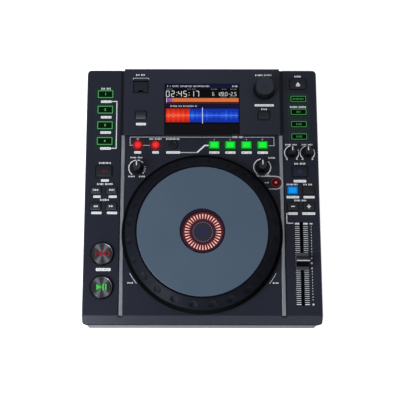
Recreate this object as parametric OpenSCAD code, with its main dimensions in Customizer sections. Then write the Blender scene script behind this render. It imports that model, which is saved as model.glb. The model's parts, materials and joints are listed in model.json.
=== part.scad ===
// Tabletop player for disc jockeys: a wedge-shaped console with a large jog
// wheel, a raised screen section, two columns of lit keys and a pitch fader.
// Deck coordinates: x to the right, y up the slope from the deck's front edge,
// h above the deck's top face. on_deck() carries them into the world frame.

/* [Case] */
// Slope of the deck, lower at the front
deck_tilt = 3; // [2:0.25:4]
// Height of the deck's front edge above the table
deck_front_h = 72; // [68:1:80]
// Thickness of the deck plate
deck_wall = 3; // [2.5:0.1:3.4]
// Thickness of the moulded side walls
wall = 2.5; // [2:0.1:2.8]
// How far the bevel along the front edge runs forward
bevel_run = 11; // [9:0.5:14]
// How far that bevel drops
bevel_drop = 11; // [8:0.5:12]
// Depth of the top case's walls below the deck
skirt_h = 19.5; // [17:0.5:24]
// Small chamfer along the deck's side and back edges
edge_chamfer = 1.2; // [0.6:0.1:1.8]
// Radius of the two back corners
back_corner_r = 7; // [4:0.5:10]
// Radius of the two front corners
front_corner_r = 2.5; // [1.5:0.5:5]
// Dark gap between the top case and the base
seam_h = 2.5; // [1.5:0.1:4]

/* [Base] */
// Thickness of the base's outer wall
base_wall = 2.2; // [1.8:0.1:3]
// Thickness of the base's floor
floor_t = 2; // [1.6:0.1:3]
// Chamfer of the base's two front corners
base_corner_cut = 2.5; // [2:0.5:6]
// Radius of the base's two back corners
base_corner_r = 6; // [4:0.5:9]
// How far the top case overhangs the base at the back
back_overhang = 9; // [8.6:0.2:14]
// How far the light front panel wraps round the sides
front_wrap = 14; // [11:0.5:20]
// Height of the rubber feet
foot_h = 6; // [4:0.5:8]
// Radius of the rubber feet
foot_r = 12; // [9:0.5:14]
// Distance of the feet from the base's sides
foot_inset = 26; // [18:1:34]
// Height of the stiffening ribs on the floor
floor_rib_h = 5; // [3:0.5:6]
// Height of the window for the connector panel
rear_window_h = 44; // [40:1:46]

/* [Columns, channels and rails] */
// Width of each column outside the channels
column_w = 48.1; // [46:0.1:53]
// Width of the channel between column and centre deck
channel_w = 6.6; // [6.2:0.1:7]
// Depth of the channel
channel_depth = 2.5; // [2:0.1:3]
// Width of the metal trim rails
rail_w = 4.8; // [4:0.1:5.4]
// How far the rails stand above the deck
rail_rise = 0.5; // [0.2:0.1:0.9]

/* [Screen hood] */
// Length of the raised section along the deck
hood_l = 96; // [90:0.5:106]
// Width of the raised section
hood_w = 218; // [206:0.5:236]
// How far the raised section reaches over the channels
hood_reach = 1.7; // [1:0.1:2.4]
// Height of the raised section above the deck
hood_rise = 5.5; // [4.5:0.5:7]
// Radius of the raised section's corners
hood_corner_r = 0.8; // [0.5:0.1:3]
// Chamfer round the raised section's top
hood_chamfer = 0.4; // [0.2:0.1:1.2]
// Thickness of the hood's top
hood_wall = 3; // [2.8:0.1:3.4]
// Width of the rim on which the hood sits
hood_seat = 6; // [5:0.5:7]
// Width of the black glass
glass_w = 105.2; // [96:0.2:114]
// Length of the black glass
glass_l = 73.7; // [68:0.1:78]
// Thickness of the black glass
glass_t = 1.8; // [1.4:0.1:2]
// Black border at each side of the lit screen area
screen_border = 1.1; // [0.9:0.1:4]
// Length of the lit screen area
screen_l = 60; // [50:0.5:66]

/* [Jog wheel] */
// Distance between the deck's front edge and the wheel
jog_margin = 1.4; // [0.5:0.1:6]
// Radius over the wheel's skirt
jog_r = 110; // [100:0.5:116]
// Gap between deck and skirt
jog_lift = 2; // [1.6:0.1:3]
// Height of the wheel's top face above the deck
jog_h = 25; // [24:0.5:28]
// Width of the skirt's steep slope
skirt_w = 5; // [4.5:0.1:8]
// Width of the sloped finger band, seen from above
band_w = 13.5; // [12.5:0.1:16]
// Width of the rim between the band and the top disc
rim_w = 3.2; // [2.6:0.1:4]
// Height at the foot of the finger band
band_h = 12; // [10:0.5:13]
// Thickness of the top disc
disc_t = 3.6; // [3:0.1:4]
// Number of finger dimples
dimple_count = 24; // [18:1:28]
// Radius of each finger dimple
dimple_r = 6; // [4.5:0.1:6.5]
// Depth of each finger dimple
dimple_depth = 1.5; // [0.8:0.1:1.7]
// Radius of the round display in the middle
display_r = 30; // [26:0.5:32]
// Radius of the fixed post
post_r = 11; // [10:0.1:12]
// Outer radius of the ball bearings
bearing_r = 16; // [15:0.1:17]
// Number of slots in the position ring
code_slots = 36; // [24:4:48]

/* [Keys] */
// How far the key columns' middle lies inwards of the columns' middle
key_col_shift = 2.15; // [1.8:0.05:2.4]
// Gap between a key and its hole
key_gap = 0.35; // [0.3:0.05:0.5]
// Corner radius of the keys
key_corner_r = 1.2; // [0.8:0.1:1.6]
// Height of the keys above the deck
key_rise = 1.6; // [1.4:0.1:2.4]
// Travel of the small keys
key_travel = 1; // [0.6:0.1:1.2]
// Width of the flange that holds a key under the deck
key_flange = 1.2; // [0.8:0.1:1.3]
// Width of the sunk border round the plain keys
key_border = 1.5; // [0.8:0.1:1.6]
// Width of the sunk border round the small plain keys
small_border = 0.7; // [0.4:0.1:1]
// Distance between the two keys of a pair
pair_pitch = 21.8; // [21.6:0.1:22.2]
// Width of a hot cue key
hot_cue_w = 22.4; // [20:0.1:23]
// Length of a hot cue key
hot_cue_l = 12; // [10:0.1:13]
// Distance between the reverse key and the nearest hot cue key
hot_cue_gap = 43.3; // [30:0.1:44]
// Distance between hot cue keys
hot_cue_pitch = 22.8; // [21:0.1:23]
// Radius of the cue and play keys
big_key_r = 15.4; // [13:0.1:15.8]
// Height of the cue and play keys above the deck
big_key_rise = 2.8; // [2:0.1:4]
// Distance of the play key from the deck's front edge
play_y = 38; // [24:0.1:44]
// Distance between the play key and the cue key
cue_pitch = 45.8; // [38:0.1:50]
// Distance between the fader's slot and the first key row behind it
pair_gap = 21.3; // [18:0.05:26]
// Distance between the two rows of paired keys
pair_row_pitch = 22.9; // [18:0.1:25]
// Distance between the paired keys and the vinyl key
mode_gap = 26.7; // [22:0.1:29]
// Distance between the vinyl key and the small knobs
small_knob_gap = 26.9; // [22:0.1:29]
// Distance between the small knobs and the first source key
source_gap = 23.2; // [20:0.1:25]
// Distance between source keys
source_pitch = 18; // [14:0.1:20]
// Distance between the last source key and the settings key
settings_gap = 18.9; // [14:0.1:21]
// Distance between the settings key and the eject key
eject_gap = 22.5; // [18:0.1:25]
// Least distance between the last keys' middle and the deck's back edge
key_margin = 20.4; // [16:0.1:26]
// Radius of the loop keys
loop_key_r = 6.6; // [5.5:0.1:7]
// Distance between loop keys
loop_pitch = 24.75; // [23:0.05:25]
// Distance between the wheel and the loop key row
loop_clear = 15.7; // [14:0.1:20]
// Distance between the loop key row and the raised section
loop_gap = 13.9; // [12:0.1:16]
// Width of an auto loop key
auto_loop_w = 14.6; // [13:0.1:15]
// Length of an auto loop key
auto_loop_l = 10.8; // [9:0.1:11.5]
// Distance between auto loop keys
auto_loop_pitch = 22.45; // [21:0.05:23]
// Radius of the slip key
slip_r = 5.6; // [4.6:0.1:6]
// Gap between the wheel and the slip key's island
slip_gap = 5.4; // [3:0.1:7]

/* [Knobs and fader] */
// Radius of the two knobs beside the jog wheel
knob_r = 8.5; // [7.5:0.1:9]
// Radius of the two small knobs on the right column
small_knob_r = 7.2; // [6:0.1:7.5]
// Height of the knobs
knob_h = 13; // [10:0.5:16]
// Radius of the knobs' shafts
knob_shaft_r = 3; // [2.5:0.1:3.2]
// Radius of the browse knob at its foot
browse_r = 15.5; // [13:0.1:16]
// Height of the browse knob
browse_h = 15.5; // [12:0.5:18]
// How far the browse knob pushes in
browse_travel = 0.8; // [0.5:0.1:1]
// Travel of the pitch fader from its middle to each end
fader_travel = 50; // [40:0.5:56]
// Distance between the deck's front edge and the fader's slot
fader_margin = 13; // [11:0.05:20]
// Length of the slot past the cap's stem at each end of its travel
fader_end = 5.1; // [2:0.1:6]
// Width of the fader's slot
fader_slot_w = 4.2; // [3:0.1:5]
// How far the cap stands behind the middle of its travel
cap_offset = 2.4; // [-10:0.1:10]
// Width of the fader cap
cap_w = 16.9; // [14:0.1:18]
// Length of the fader cap
cap_l = 23.2; // [18:0.1:24]
// Height of the fader cap above the deck
cap_h = 14; // [11:0.5:16]

/* [USB cover and sockets] */
// Width of the cover over the top socket
cover_w = 19.4; // [18:0.1:21]
// Length of that cover
cover_l = 16.6; // [15.6:0.1:18]
// Thickness of that cover
cover_t = 1.8; // [1.5:0.1:2.2]
// Gap round that cover
cover_gap = 1.1; // [0.6:0.1:1.3]
// Radius of the cover's hinge pins
cover_pin_r = 0.8; // [0.6:0.1:0.9]
// Radius of the finger notch in the cover's front edge
notch_r = 4.6; // [3:0.1:6]
// How far the notch reaches into the cover
notch_depth = 3.7; // [2:0.1:4]
// Depth of the pocket under the cover
pocket_depth = 9; // [8:0.5:10]

/* [Hidden] */
$fn = 64;

fit_gap = 0.3;
run_gap = 0.05;
over = 1;                                    // how far a cutter runs past a face

// The case is as wide as its sections
channel_in = hood_w / 2 - hood_reach;
channel_out = channel_in + channel_w;
case_w = 2 * (channel_out + column_w);
rail_x = channel_in + fit_gap + rail_w / 2;
col_x = channel_out + column_w / 2 - key_col_shift;

// Rows of keys, from the front to the back
stem_l = 5;
slot_l = 2 * (fader_travel + stem_l / 2 + fader_end);
fader_y = fader_margin + slot_l / 2;
pair_low_y = fader_margin + slot_l + pair_gap;
pair_high_y = pair_low_y + pair_row_pitch;
mode_y = pair_high_y + mode_gap;
small_knob_y = mode_y + small_knob_gap;
source_y = small_knob_y + source_gap;
settings_y = source_y + 2 * source_pitch + settings_gap;
eject_y = settings_y + eject_gap;
cue_y = play_y + cue_pitch;
hot_cue_low_y = mode_y + hot_cue_gap;
hot_cue_high_y = hot_cue_low_y + 3 * hot_cue_pitch;

// The deck is as long as its longest row of pieces
jog_y = jog_margin + jog_r;
centre_l = jog_y + jog_r + loop_clear + loop_gap + hood_l;
deck_l = max(centre_l, eject_y + key_margin, hot_cue_high_y + key_margin);
hood_y = deck_l - hood_l;
loop_y = hood_y - loop_gap;
screen_w = glass_w - 2 * screen_border;
screen_y = glass_l - screen_l / 2 + 0.2;

// Slope of the front bevel, its wall's height and the depth of its inner foot
bevel_slope = bevel_drop / bevel_run;
bevel_wall = wall * sqrt(1 + pow(bevel_slope, 2));
bevel_foot = bevel_slope * (bevel_run - wall) + bevel_wall;

// The deck's frame in the world, centred front to back
front_reach = bevel_run * cos(deck_tilt) - bevel_drop * sin(deck_tilt);
back_reach = deck_l * cos(deck_tilt) + skirt_h * sin(deck_tilt);
deck_front_y = (front_reach - back_reach) / 2;
depth = front_reach + back_reach;

// The base follows a lip that stands inside the top case
lip_t = 1.6;
lip_h = skirt_h - bevel_foot - fit_gap;
lip_inset = 1.3;
seam_low = skirt_h + seam_h;
lip_w = case_w - 2 * (wall + fit_gap);
lip_front = -bevel_run + wall + fit_gap;
base_w = lip_w + 2 * lip_inset;
base_front_y = world_y(lip_front, -seam_low) - lip_inset;
base_back_y = depth / 2 - back_overhang;
lip_back = deck_y(base_back_y - lip_inset, -seam_low);
floor_top = foot_h + floor_t;

// World y of a deck point, and the deck y of a world point
function world_y(y, h) = deck_front_y + y * cos(deck_tilt) - h * sin(deck_tilt);
function deck_y(y, h) = (y - deck_front_y + h * sin(deck_tilt)) / cos(deck_tilt);

// Screw posts join the top case and the base
post_x = case_w / 2 - 7.5;
post_rows = [12, pair_low_y - 27.5, mode_y + 3.9, deck_l - 26];
post_split = 26;
post_top_r = 3.4;
post_low_r = 6;
screw_r = 1.4;
screw_clear_r = 2;
screw_head_r = 3.8;
screw_shelf = 4;

// Circuit boards hang under the deck on short posts
board_h = 12.6;
board_t = 1.6;
board_w = 41;
board_out = case_w / 2 - 6;
board_back = lip_back - lip_t - 1;
switch_w = 6;
switch_h = 3.4;
nub_h = 1;
press_gap = 0.3;
plunger_low = -board_h + switch_h + nub_h + key_travel + press_gap;
flange_t = 1.2;
flange_play = 0.05;
chip_w = 14;
chip_t = 1.5;
panel_frame_w = 2.5;
panel_frame_t = 4.5;
pot_r = 8;
pot_h = 6.6;
standoff_r = 2.6;

// The slip key stands on a round island that interrupts channel and rail
slip_x = channel_in - 5.2;
island_r = slip_r + 3.9;
slip_y = jog_y + sqrt(pow(jog_r + slip_gap + island_r, 2) - pow(slip_x, 2));

// Keys: name, x, y, width, length, round, sunk border, on the hood
hood_row_y = hood_y + 27.6;
pair_left = col_x - pair_pitch / 2;
pair_right = col_x + pair_pitch / 2;
loop_x = 17.7 - channel_in;
auto_loop_x = channel_in - 22.85 - 3 * auto_loop_pitch;
KEYS = [
    for (i = [0:3]) [str("hot_cue_", i + 1), -col_x, hot_cue_high_y - i * hot_cue_pitch,
                     hot_cue_w, hot_cue_l, false, 0, false],
    ["reverse_button", -col_x, mode_y, 21.2, 14.6, false, key_border, false],
    ["track_back_button", -pair_right, pair_high_y, 14.4, 10, false, small_border, false],
    ["track_next_button", -pair_left, pair_high_y, 14.4, 10, false, small_border, false],
    ["search_back_button", -pair_right, pair_low_y, 14.4, 10, false, small_border, false],
    ["search_forward_button", -pair_left, pair_low_y, 14.4, 10, false, small_border, false],
    ["cue_button", -col_x, cue_y, 2 * big_key_r, 2 * big_key_r, true, 1, false],
    ["play_button", -col_x, play_y, 2 * big_key_r, 2 * big_key_r, true, 1, false],
    ["shift_button", 23.6 - hood_w / 2, hood_row_y, 14, 10.8, false, key_border, true],
    ["back_button", hood_w / 2 - 22.5, hood_row_y, 14.8, 11, false, key_border, true],
    ["loop_in_button", loop_x, loop_y, 2 * loop_key_r, 2 * loop_key_r, true, 0, false],
    ["loop_out_button", loop_x + loop_pitch, loop_y, 2 * loop_key_r, 2 * loop_key_r, true, 0,
     false],
    ["reloop_button", loop_x + 2 * loop_pitch, loop_y, 2 * loop_key_r - 0.8,
     2 * loop_key_r - 0.8, true, 0, false],
    for (i = [0:3]) [str("auto_loop_", i + 1), auto_loop_x + i * auto_loop_pitch, loop_y,
                     auto_loop_w, auto_loop_l, false, 0, false],
    ["slip_button", slip_x, slip_y, 2 * slip_r, 2 * slip_r, true, 0, false],
    ["eject_button", col_x, eject_y, 21.8, 14.6, false, key_border, false],
    ["settings_button", col_x, settings_y, 22.2, 9.4, false, 0, false],
    ["source_usb_button", col_x, source_y + 2 * source_pitch, 22.4, 9.2, false, 0, false],
    ["source_midi_button", col_x, source_y + source_pitch, 22.4, 9.2, false, 0, false],
    ["source_link_button", col_x, source_y, 22.4, 9.2, false, 0, false],
    ["vinyl_button", col_x, mode_y, 20, 13.6, false, key_border, false],
    ["key_lock_button", pair_left, pair_high_y, 14.8, 11, false, 0, false],
    ["tempo_range_button", pair_right, pair_high_y, 14.8, 11, false, small_border, false],
    ["pitch_minus_button", pair_left, pair_low_y, 14.8, 10.8, false, small_border, false],
    ["pitch_plus_button", pair_right, pair_low_y, 14.8, 10.8, false, small_border, false]
];
function key_under(k) = k[7] ? hood_rise - hood_wall : -deck_wall;
function key_face(k) = k[7] ? hood_rise : 0;
function key_top(k) = key_face(k) + (k[3] > 2 * loop_key_r + 12 && k[5] ? big_key_rise : key_rise);

// Knobs: name, x, y, radius
KNOBS = [
    ["jog_adjust_knob", 16.9 - channel_in, loop_y - 33.2, knob_r],
    ["filter_knob", channel_in - 23.8, loop_y - 31.7, knob_r],
    ["start_time_knob", pair_left, small_knob_y, small_knob_r],
    ["stop_time_knob", pair_right, small_knob_y, small_knob_r]
];
knob_lift = 0.8;
browse_x = hood_w / 2 - 21.5;
browse_y = deck_l - 30.5;

// Pitch fader
fader_x = col_x;
stem_t = 1.8;
fader_box_l = slot_l + 13;
fader_box_w = 20;
fader_box_h = 12;
fader_box_wall = 1.5;
rod_r = 1.2;
rod_x = 5;
carriage_l = 12;
carriage_w = 15;
carriage_h = 5.2;
rod_drop = 7;
board_right_y = fader_y + fader_box_l / 2 + 4;

// Jog wheel, heights above the deck
jog_hole_r = 50;
dish_wall = 2.5;
dish_depth = board_h + board_t + 0.4;
post_bore_r = 5;
shoulder_r = 13.5;
bearing_t = 5;
bearing_low = 5;
bearing_high = 14.4;
web_top = jog_h - disc_t;
web_t = 3;
display_low = web_top + 0.5;
display_stem_l = 10;
hub_r = bearing_r + 5;
band_r = jog_r - skirt_w;
band_top_r = band_r - band_w;
disc_r = band_top_r - rim_w;
band_top_h = jog_h - 0.4;
band_run = band_w;
band_fall = band_top_h - band_h;
band_l = sqrt(pow(band_run, 2) + pow(band_fall, 2));
band_t = 3.2;
code_r = 45;
code_t = 1.5;

// Cover over the top socket, in deck coordinates
cover_x = 23 - hood_w / 2;
cover_y = deck_l - 26.6;
barrel_r = 1.3;
barrel_drop = 0.8;
hinge_y = cover_y + cover_l / 2 - barrel_r;
hinge_h = hood_rise - barrel_drop - barrel_r;
pocket_w = cover_w + 2 * cover_gap;
pocket_front = cover_y - cover_l / 2 - cover_gap;
pocket_back = hinge_y + barrel_r + cover_gap;
pocket_wall = 1.5;
ledge_w = cover_gap + 1.2;
pin_reach = 0.9;
pin_l = pocket_w + 2 * pin_reach;
port_w = 14.4;
port_l = 7.1;

// Connector panel and what stands in it, world coordinates
panel_t = 1.5;
panel_y = base_back_y - base_wall;
window_w = base_w - 30;
window_low = floor_top + 5;
inlet_x = base_w / 2 - 42.5;
inlet_z = 36;
inlet_w = 27;
inlet_h = 20;
rocker_x = inlet_x - 34;
rocker_w = 11.6;
rocker_h = 18;
rocker_pin_r = 1.2;
rocker_rest = 10;
rocker_half = rocker_h / 2 - 0.6;
rocker_depth = 4;
main_board_z = floor_top + 8;
jack_z = main_board_z + board_t + 9;
jack_r = 4.15;
jack_x = 32.5 - base_w / 2;
jack_xs = [jack_x, jack_x + 20, jack_x + 50];
lan_x = jack_x + 88;
usb_b_x = jack_x + 116;

deck_colour = [0.13, 0.13, 0.16];
dark_colour = [0.06, 0.06, 0.07];
base_colour = [0.2, 0.2, 0.22];
light_colour = [0.62, 0.63, 0.65];
metal_colour = [0.55, 0.56, 0.58];
disc_colour = [0.3, 0.37, 0.43];
board_colour = [0.05, 0.3, 0.16];

// ---- Helpers ----

module on_deck(h = 0)
    translate([0, deck_front_y, deck_front_h]) rotate([deck_tilt, 0, 0])
        translate([0, 0, h]) children();

// A 2D shape drawn as (y, h) and run along x
module along_x(l) rotate([90, 0, 90]) linear_extrude(l, center = true) children();

// A 2D shape drawn as (x, h) and run along y
module along_y(l) rotate([90, 0, 0]) linear_extrude(l, center = true) children();

// Rectangle with round corners
module rounded(w, l, r) {
    square([w - 2 * r, l], center = true);
    square([w, l - 2 * r], center = true);
    for (sx = [-1, 1], sy = [-1, 1]) translate([sx * (w / 2 - r), sy * (l / 2 - r)]) circle(r);
}

// Plan with its own radius for the front corners and for the back ones
module plan(w, y0, y1, rf, rb) {
    translate([-w / 2, y0 + rf]) square([w, y1 - y0 - rf - rb]);
    translate([-w / 2 + rf, y0]) square([w - 2 * rf, 2 * rf]);
    translate([-w / 2 + rb, y1 - 2 * rb]) square([w - 2 * rb, 2 * rb]);
    for (s = [-1, 1]) {
        translate([s * (w / 2 - rf), y0 + rf]) circle(rf);
        translate([s * (w / 2 - rb), y1 - rb]) circle(rb);
    }
}

// Rectangle whose two upper corners are cut at 45 degrees
module cut_corners(w, h, c, below)
    polygon([[-w / 2, -below], [w / 2, -below], [w / 2, h - c], [w / 2 - c, h],
             [-w / 2 + c, h], [-w / 2, h - c]]);

// Block standing on h = 0 with round corners and a chamfer round its top
module soft_block(w, l, h, r, c) intersection() {
    linear_extrude(h) rounded(w, l, r);
    along_y(l + over) cut_corners(w, h, c, over);
    along_x(w + over) cut_corners(l, h, c, over);
}

// ---- Top case ----

module side_profile()
    polygon([[-bevel_run, -skirt_h], [-bevel_run, -bevel_drop], [0, 0],
             [deck_l - edge_chamfer, 0], [deck_l, -edge_chamfer], [deck_l, -skirt_h]]);

module hollow_profile() {
    low = -skirt_h - over;
    polygon([[-bevel_run + wall, low], [-bevel_run + wall, -bevel_foot],
             [(bevel_wall - deck_wall) / bevel_slope, -deck_wall], [deck_l - wall, -deck_wall],
             [deck_l - wall, low]]);
}

module case_block() intersection() {
    along_x(case_w + over) side_profile();
    along_y(3 * deck_l) cut_corners(case_w, 0, edge_chamfer, skirt_h);
    translate([0, 0, -skirt_h]) linear_extrude(skirt_h)
        plan(case_w, -bevel_run, deck_l, front_corner_r, back_corner_r);
}

module case_hollow() intersection() {
    along_x(case_w - 2 * wall) hollow_profile();
    translate([0, 0, -skirt_h - over]) linear_extrude(skirt_h + over)
        plan(case_w - 2 * wall, -bevel_run + wall, deck_l - wall, 1, back_corner_r - wall);
}

module key_plan(k, grow)
    if (k[5]) circle(k[3] / 2 + grow);
    else rounded(k[3] + 2 * grow, k[4] + 2 * grow, key_corner_r + grow);

module key_holes(on_hood, grow) for (k = KEYS) if (k[7] == on_hood)
    translate([k[1], k[2]]) key_plan(k, grow);

module knob_holes() for (k = KNOBS) translate([k[1], k[2]]) circle(knob_shaft_r + 1);

module deck_holes() {
    key_holes(false, key_gap);
    knob_holes();
    translate([0, jog_y]) circle(jog_hole_r);
    translate([fader_x, fader_y]) rounded(fader_slot_w, slot_l, fader_slot_w / 2 - 0.2);
    translate([0, hood_y + hood_l / 2]) rounded(hood_w - 2 * hood_seat, hood_l - 2 * hood_seat, 3);
}

module channels() difference() {
    for (s = [-1, 1]) {
        translate([s * (channel_in + channel_w / 2) - channel_w / 2, -2.4, -channel_depth])
            cube([channel_w, hood_y + 2.4, channel_depth + over]);
        translate([s > 0 ? hood_w / 2 + fit_gap : -channel_out, hood_y - over, -channel_depth])
            cube([channel_out - hood_w / 2 - fit_gap, hood_l + 2 * over, channel_depth + over]);
    }
    translate([slip_x, slip_y, -channel_depth - over])
        cylinder(r = island_r, h = channel_depth + 3 * over);
}

module channel_ribs() for (s = [-1, 1])
    translate([s * (channel_in + channel_w / 2) - channel_w / 2 - wall, -bevel_run / 4,
               -channel_depth - deck_wall])
        cube([channel_w + 2 * wall, deck_l - wall, channel_depth + deck_wall - 0.5]);

module at_posts() for (s = [-1, 1], y = post_rows) translate([s * post_x, y, 0]) children();

// Short posts under the deck that carry the boards
standoff_x = channel_out + 4.1;
standoffs = [
    for (y = [play_y - 18, (play_y + cue_y) / 2, (cue_y + pair_low_y) / 2,
              (pair_high_y + mode_y) / 2, (mode_y + hot_cue_low_y) / 2, hot_cue_high_y + 19.2])
        [-standoff_x, y],
    for (y = [(pair_low_y + pair_high_y) / 2, (pair_high_y + mode_y) / 2,
              (small_knob_y + source_y) / 2, eject_y]) [standoff_x, y],
    [7.3 - channel_in, loop_y - 15.1], [channel_in - 7.3, loop_y + 7.9],
    [loop_x + 1.5 * loop_pitch, hood_y - 1], [0, hood_y - 3],
    [auto_loop_x + 1.5 * auto_loop_pitch, hood_y - 1],
    [(KNOBS[1][1] + slip_x) / 2, (KNOBS[1][2] + slip_y) / 2]
];
module at_standoffs() for (p = standoffs) translate([p[0], p[1], 0]) children();

module top_case() color(deck_colour) on_deck() difference() {
    union() {
        difference() {
            case_block();
            case_hollow();
        }
        intersection() {
            channel_ribs();
            case_block();
        }
        at_posts() translate([0, 0, -post_split]) cylinder(r = post_top_r, h = post_split - 1);
        at_standoffs() translate([0, 0, -board_h])
            cylinder(r = standoff_r, h = board_h - 1);
        // ring rib round the wheel's opening, outside the dish's flange
        translate([0, jog_y, -deck_wall - 4]) difference() {
            cylinder(r = jog_hole_r + 25, h = 5);
            translate([0, 0, -over]) cylinder(r = jog_hole_r + 23, h = 5 + 2 * over);
        }
        // ledge that closes the overhang at the back
        translate([-case_w / 2 + wall / 2, lip_back + fit_gap, -skirt_h])
            cube([case_w - wall, deck_l - wall / 2 - lip_back - fit_gap, wall]);
    }
    channels();
    translate([0, 0, -deck_wall - channel_depth - over])
        linear_extrude(deck_wall + channel_depth + 2 * over) deck_holes();
    // room for the keys' flanges under ribs
    translate([0, 0, -skirt_h + 2]) linear_extrude(skirt_h - 2 - deck_wall)
        key_holes(false, key_flange + 0.5);
    // sunk borders
    for (k = KEYS) if (!k[7] && k[6] > 0)
        translate([k[1], k[2], -1.1]) linear_extrude(1.1 + over) key_plan(k, key_gap + k[6]);
    at_posts() translate([0, 0, -post_split - over])
        cylinder(r = screw_r, h = post_split - deck_wall - 2 + over);
    at_standoffs() translate([0, 0, -board_h - over]) cylinder(r = 1, h = 7 + over);
    // the outside of the corners stays round below the ledge
    difference() {
        translate([-case_w / 2 - over, deck_l - back_corner_r, -skirt_h - over])
            cube([case_w + 2 * over, back_corner_r + over, skirt_h]);
        translate([0, 0, -skirt_h - 2 * over]) linear_extrude(skirt_h + 2 * over)
            plan(case_w, -bevel_run, deck_l, front_corner_r, back_corner_r);
    }
}

module trim_rails() color(metal_colour) on_deck() difference() {
    for (s = [-1, 1]) translate([s * rail_x, (hood_y - fit_gap) / 2, 0])
        along_y(hood_y - fit_gap)
            polygon([[-rail_w / 2, -channel_depth], [rail_w / 2, -channel_depth],
                     [rail_w / 2, 0], [rail_w / 2 - 0.6, rail_rise],
                     [0.6 - rail_w / 2, rail_rise], [-rail_w / 2, 0]]);
    translate([slip_x, slip_y, -channel_depth - over])
        cylinder(r = island_r + fit_gap, h = channel_depth + 3 * over);
}

// ---- Screen hood ----

module screen_hood() color(deck_colour) on_deck() difference() {
    union() {
        difference() {
            translate([0, hood_y + hood_l / 2, 0])
                soft_block(hood_w, hood_l, hood_rise, hood_corner_r, hood_chamfer);
            translate([0, hood_y + hood_l / 2, -over])
                linear_extrude(hood_rise - hood_wall + over)
                    rounded(hood_w - 2 * wall, hood_l - 2 * wall, 1);
        }
        // lip that drops into the deck's opening
        translate([0, hood_y + hood_l / 2, -2]) linear_extrude(hood_rise - hood_wall + 2 + 0.5)
            difference() {
                rounded(hood_w - 2 * hood_seat - 2 * fit_gap, hood_l - 2 * hood_seat - 2 * fit_gap, 2.7);
                rounded(hood_w - 2 * hood_seat - 2 * fit_gap - 3, hood_l - 2 * hood_seat - 2 * fit_gap - 3,
                        1.2);
            }
        // pocket under the socket's cover
        translate([cover_x - pocket_w / 2 - pocket_wall, pocket_front - pocket_wall,
                   hood_rise - pocket_depth - pocket_wall])
            cube([pocket_w + 2 * pocket_wall, pocket_back - pocket_front + 2 * pocket_wall,
                  pocket_depth + pocket_wall - 1]);
    }
    // the pocket, with a ledge under the cover's front edge
    translate([cover_x - pocket_w / 2, pocket_front + ledge_w, hood_rise - pocket_depth])
        cube([pocket_w, pocket_back - pocket_front - ledge_w, pocket_depth + over]);
    translate([cover_x - pocket_w / 2, pocket_front, hood_rise - cover_t - flange_play])
        cube([pocket_w, ledge_w + over, cover_t + flange_play + over]);
    translate([cover_x - port_w / 2 - fit_gap, cover_y - port_l / 2 - fit_gap,
               hood_rise - pocket_depth - pocket_wall - over])
        cube([port_w + 2 * fit_gap, port_l + 2 * fit_gap, pocket_wall + 2 * over]);
    translate([cover_x, hinge_y, hinge_h]) rotate([0, 90, 0])
        cylinder(r = cover_pin_r + run_gap, h = pin_l + fit_gap, center = true);
    // seat of the glass, open to the front, and the screen's window
    translate([-glass_w / 2 - 0.2, hood_y - over, hood_rise - glass_t])
        cube([glass_w + 0.4, glass_l + 0.4 + over, glass_t + over]);
    translate([-screen_w / 2 - 0.3, hood_y + screen_y - screen_l / 2 - 0.3, -over])
        cube([screen_w + 0.6, screen_l + 0.6, hood_rise + over]);
    translate([0, 0, -over]) linear_extrude(hood_rise + 2 * over) {
        key_holes(true, key_gap);
        translate([browse_x, browse_y]) circle(knob_shaft_r + 1);
    }
    for (k = KEYS) if (k[7])
        translate([k[1], k[2], hood_rise - 1.1]) linear_extrude(1.1 + over)
            key_plan(k, key_gap + k[6]);
}

module screen_glass() color(dark_colour) on_deck()
    translate([0, hood_y + 0.1 + glass_l / 2, hood_rise - glass_t])
        linear_extrude(glass_t - 0.05) rounded(glass_w, glass_l, 0.8);

// Screen panel with its frame and driver board, fixed under the hood's window
module display_module() color(dark_colour) on_deck()
    translate([0, hood_y + screen_y, hood_rise - hood_wall]) {
        translate([0, 0, -panel_frame_t]) linear_extrude(panel_frame_t)
            rounded(screen_w + 2 * panel_frame_w, screen_l + 2 * panel_frame_w, 1);
        translate([0, 0, -panel_frame_t - board_t]) linear_extrude(board_t)
            rounded(screen_w - 2 * panel_frame_w, screen_l - panel_frame_w, 1);
        for (s = [-1, 1])
            translate([s * screen_w / 3.4, 4, -panel_frame_t - board_t - chip_t])
                linear_extrude(chip_t) rounded(chip_w, chip_w, 0.5);
    }

// ---- Base ----

module base_plan(t) {
    hw = base_w / 2 - t;
    y0 = base_front_y + t;
    y1 = base_back_y - t;
    cut = base_corner_cut - t * (2 - sqrt(2));
    r = base_corner_r - t;
    polygon([[-hw, y0 + cut], [cut - hw, y0], [hw - cut, y0], [hw, y0 + cut], [hw, y1 - r],
             [hw - r, y1 - r], [hw - r, y1], [r - hw, y1], [r - hw, y1 - r], [-hw, y1 - r]]);
    for (s = [-1, 1]) translate([s * (hw - r), y1 - r]) circle(r);
}

module base_walls() translate([0, 0, foot_h]) linear_extrude(deck_front_h + 20) difference() {
    base_plan(0);
    base_plan(base_wall);
}

module in_front(y) translate([-case_w, y - 200, 0]) cube([2 * case_w, 200, 200]);

module above_seam() on_deck(-seam_low) translate([-case_w, -60, 0]) cube([2 * case_w, 500, 80]);

// Slots in both side walls
vent_count = 9;
vent_pitch = 7;
vent_w = 2.6;
vent_l = 20;
vent_y = base_back_y - 110;
module vents() for (i = [0:vent_count - 1])
    translate([-case_w, vent_y + i * vent_pitch, floor_top + 22])
        cube([2 * case_w, vent_w, vent_l]);

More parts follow.
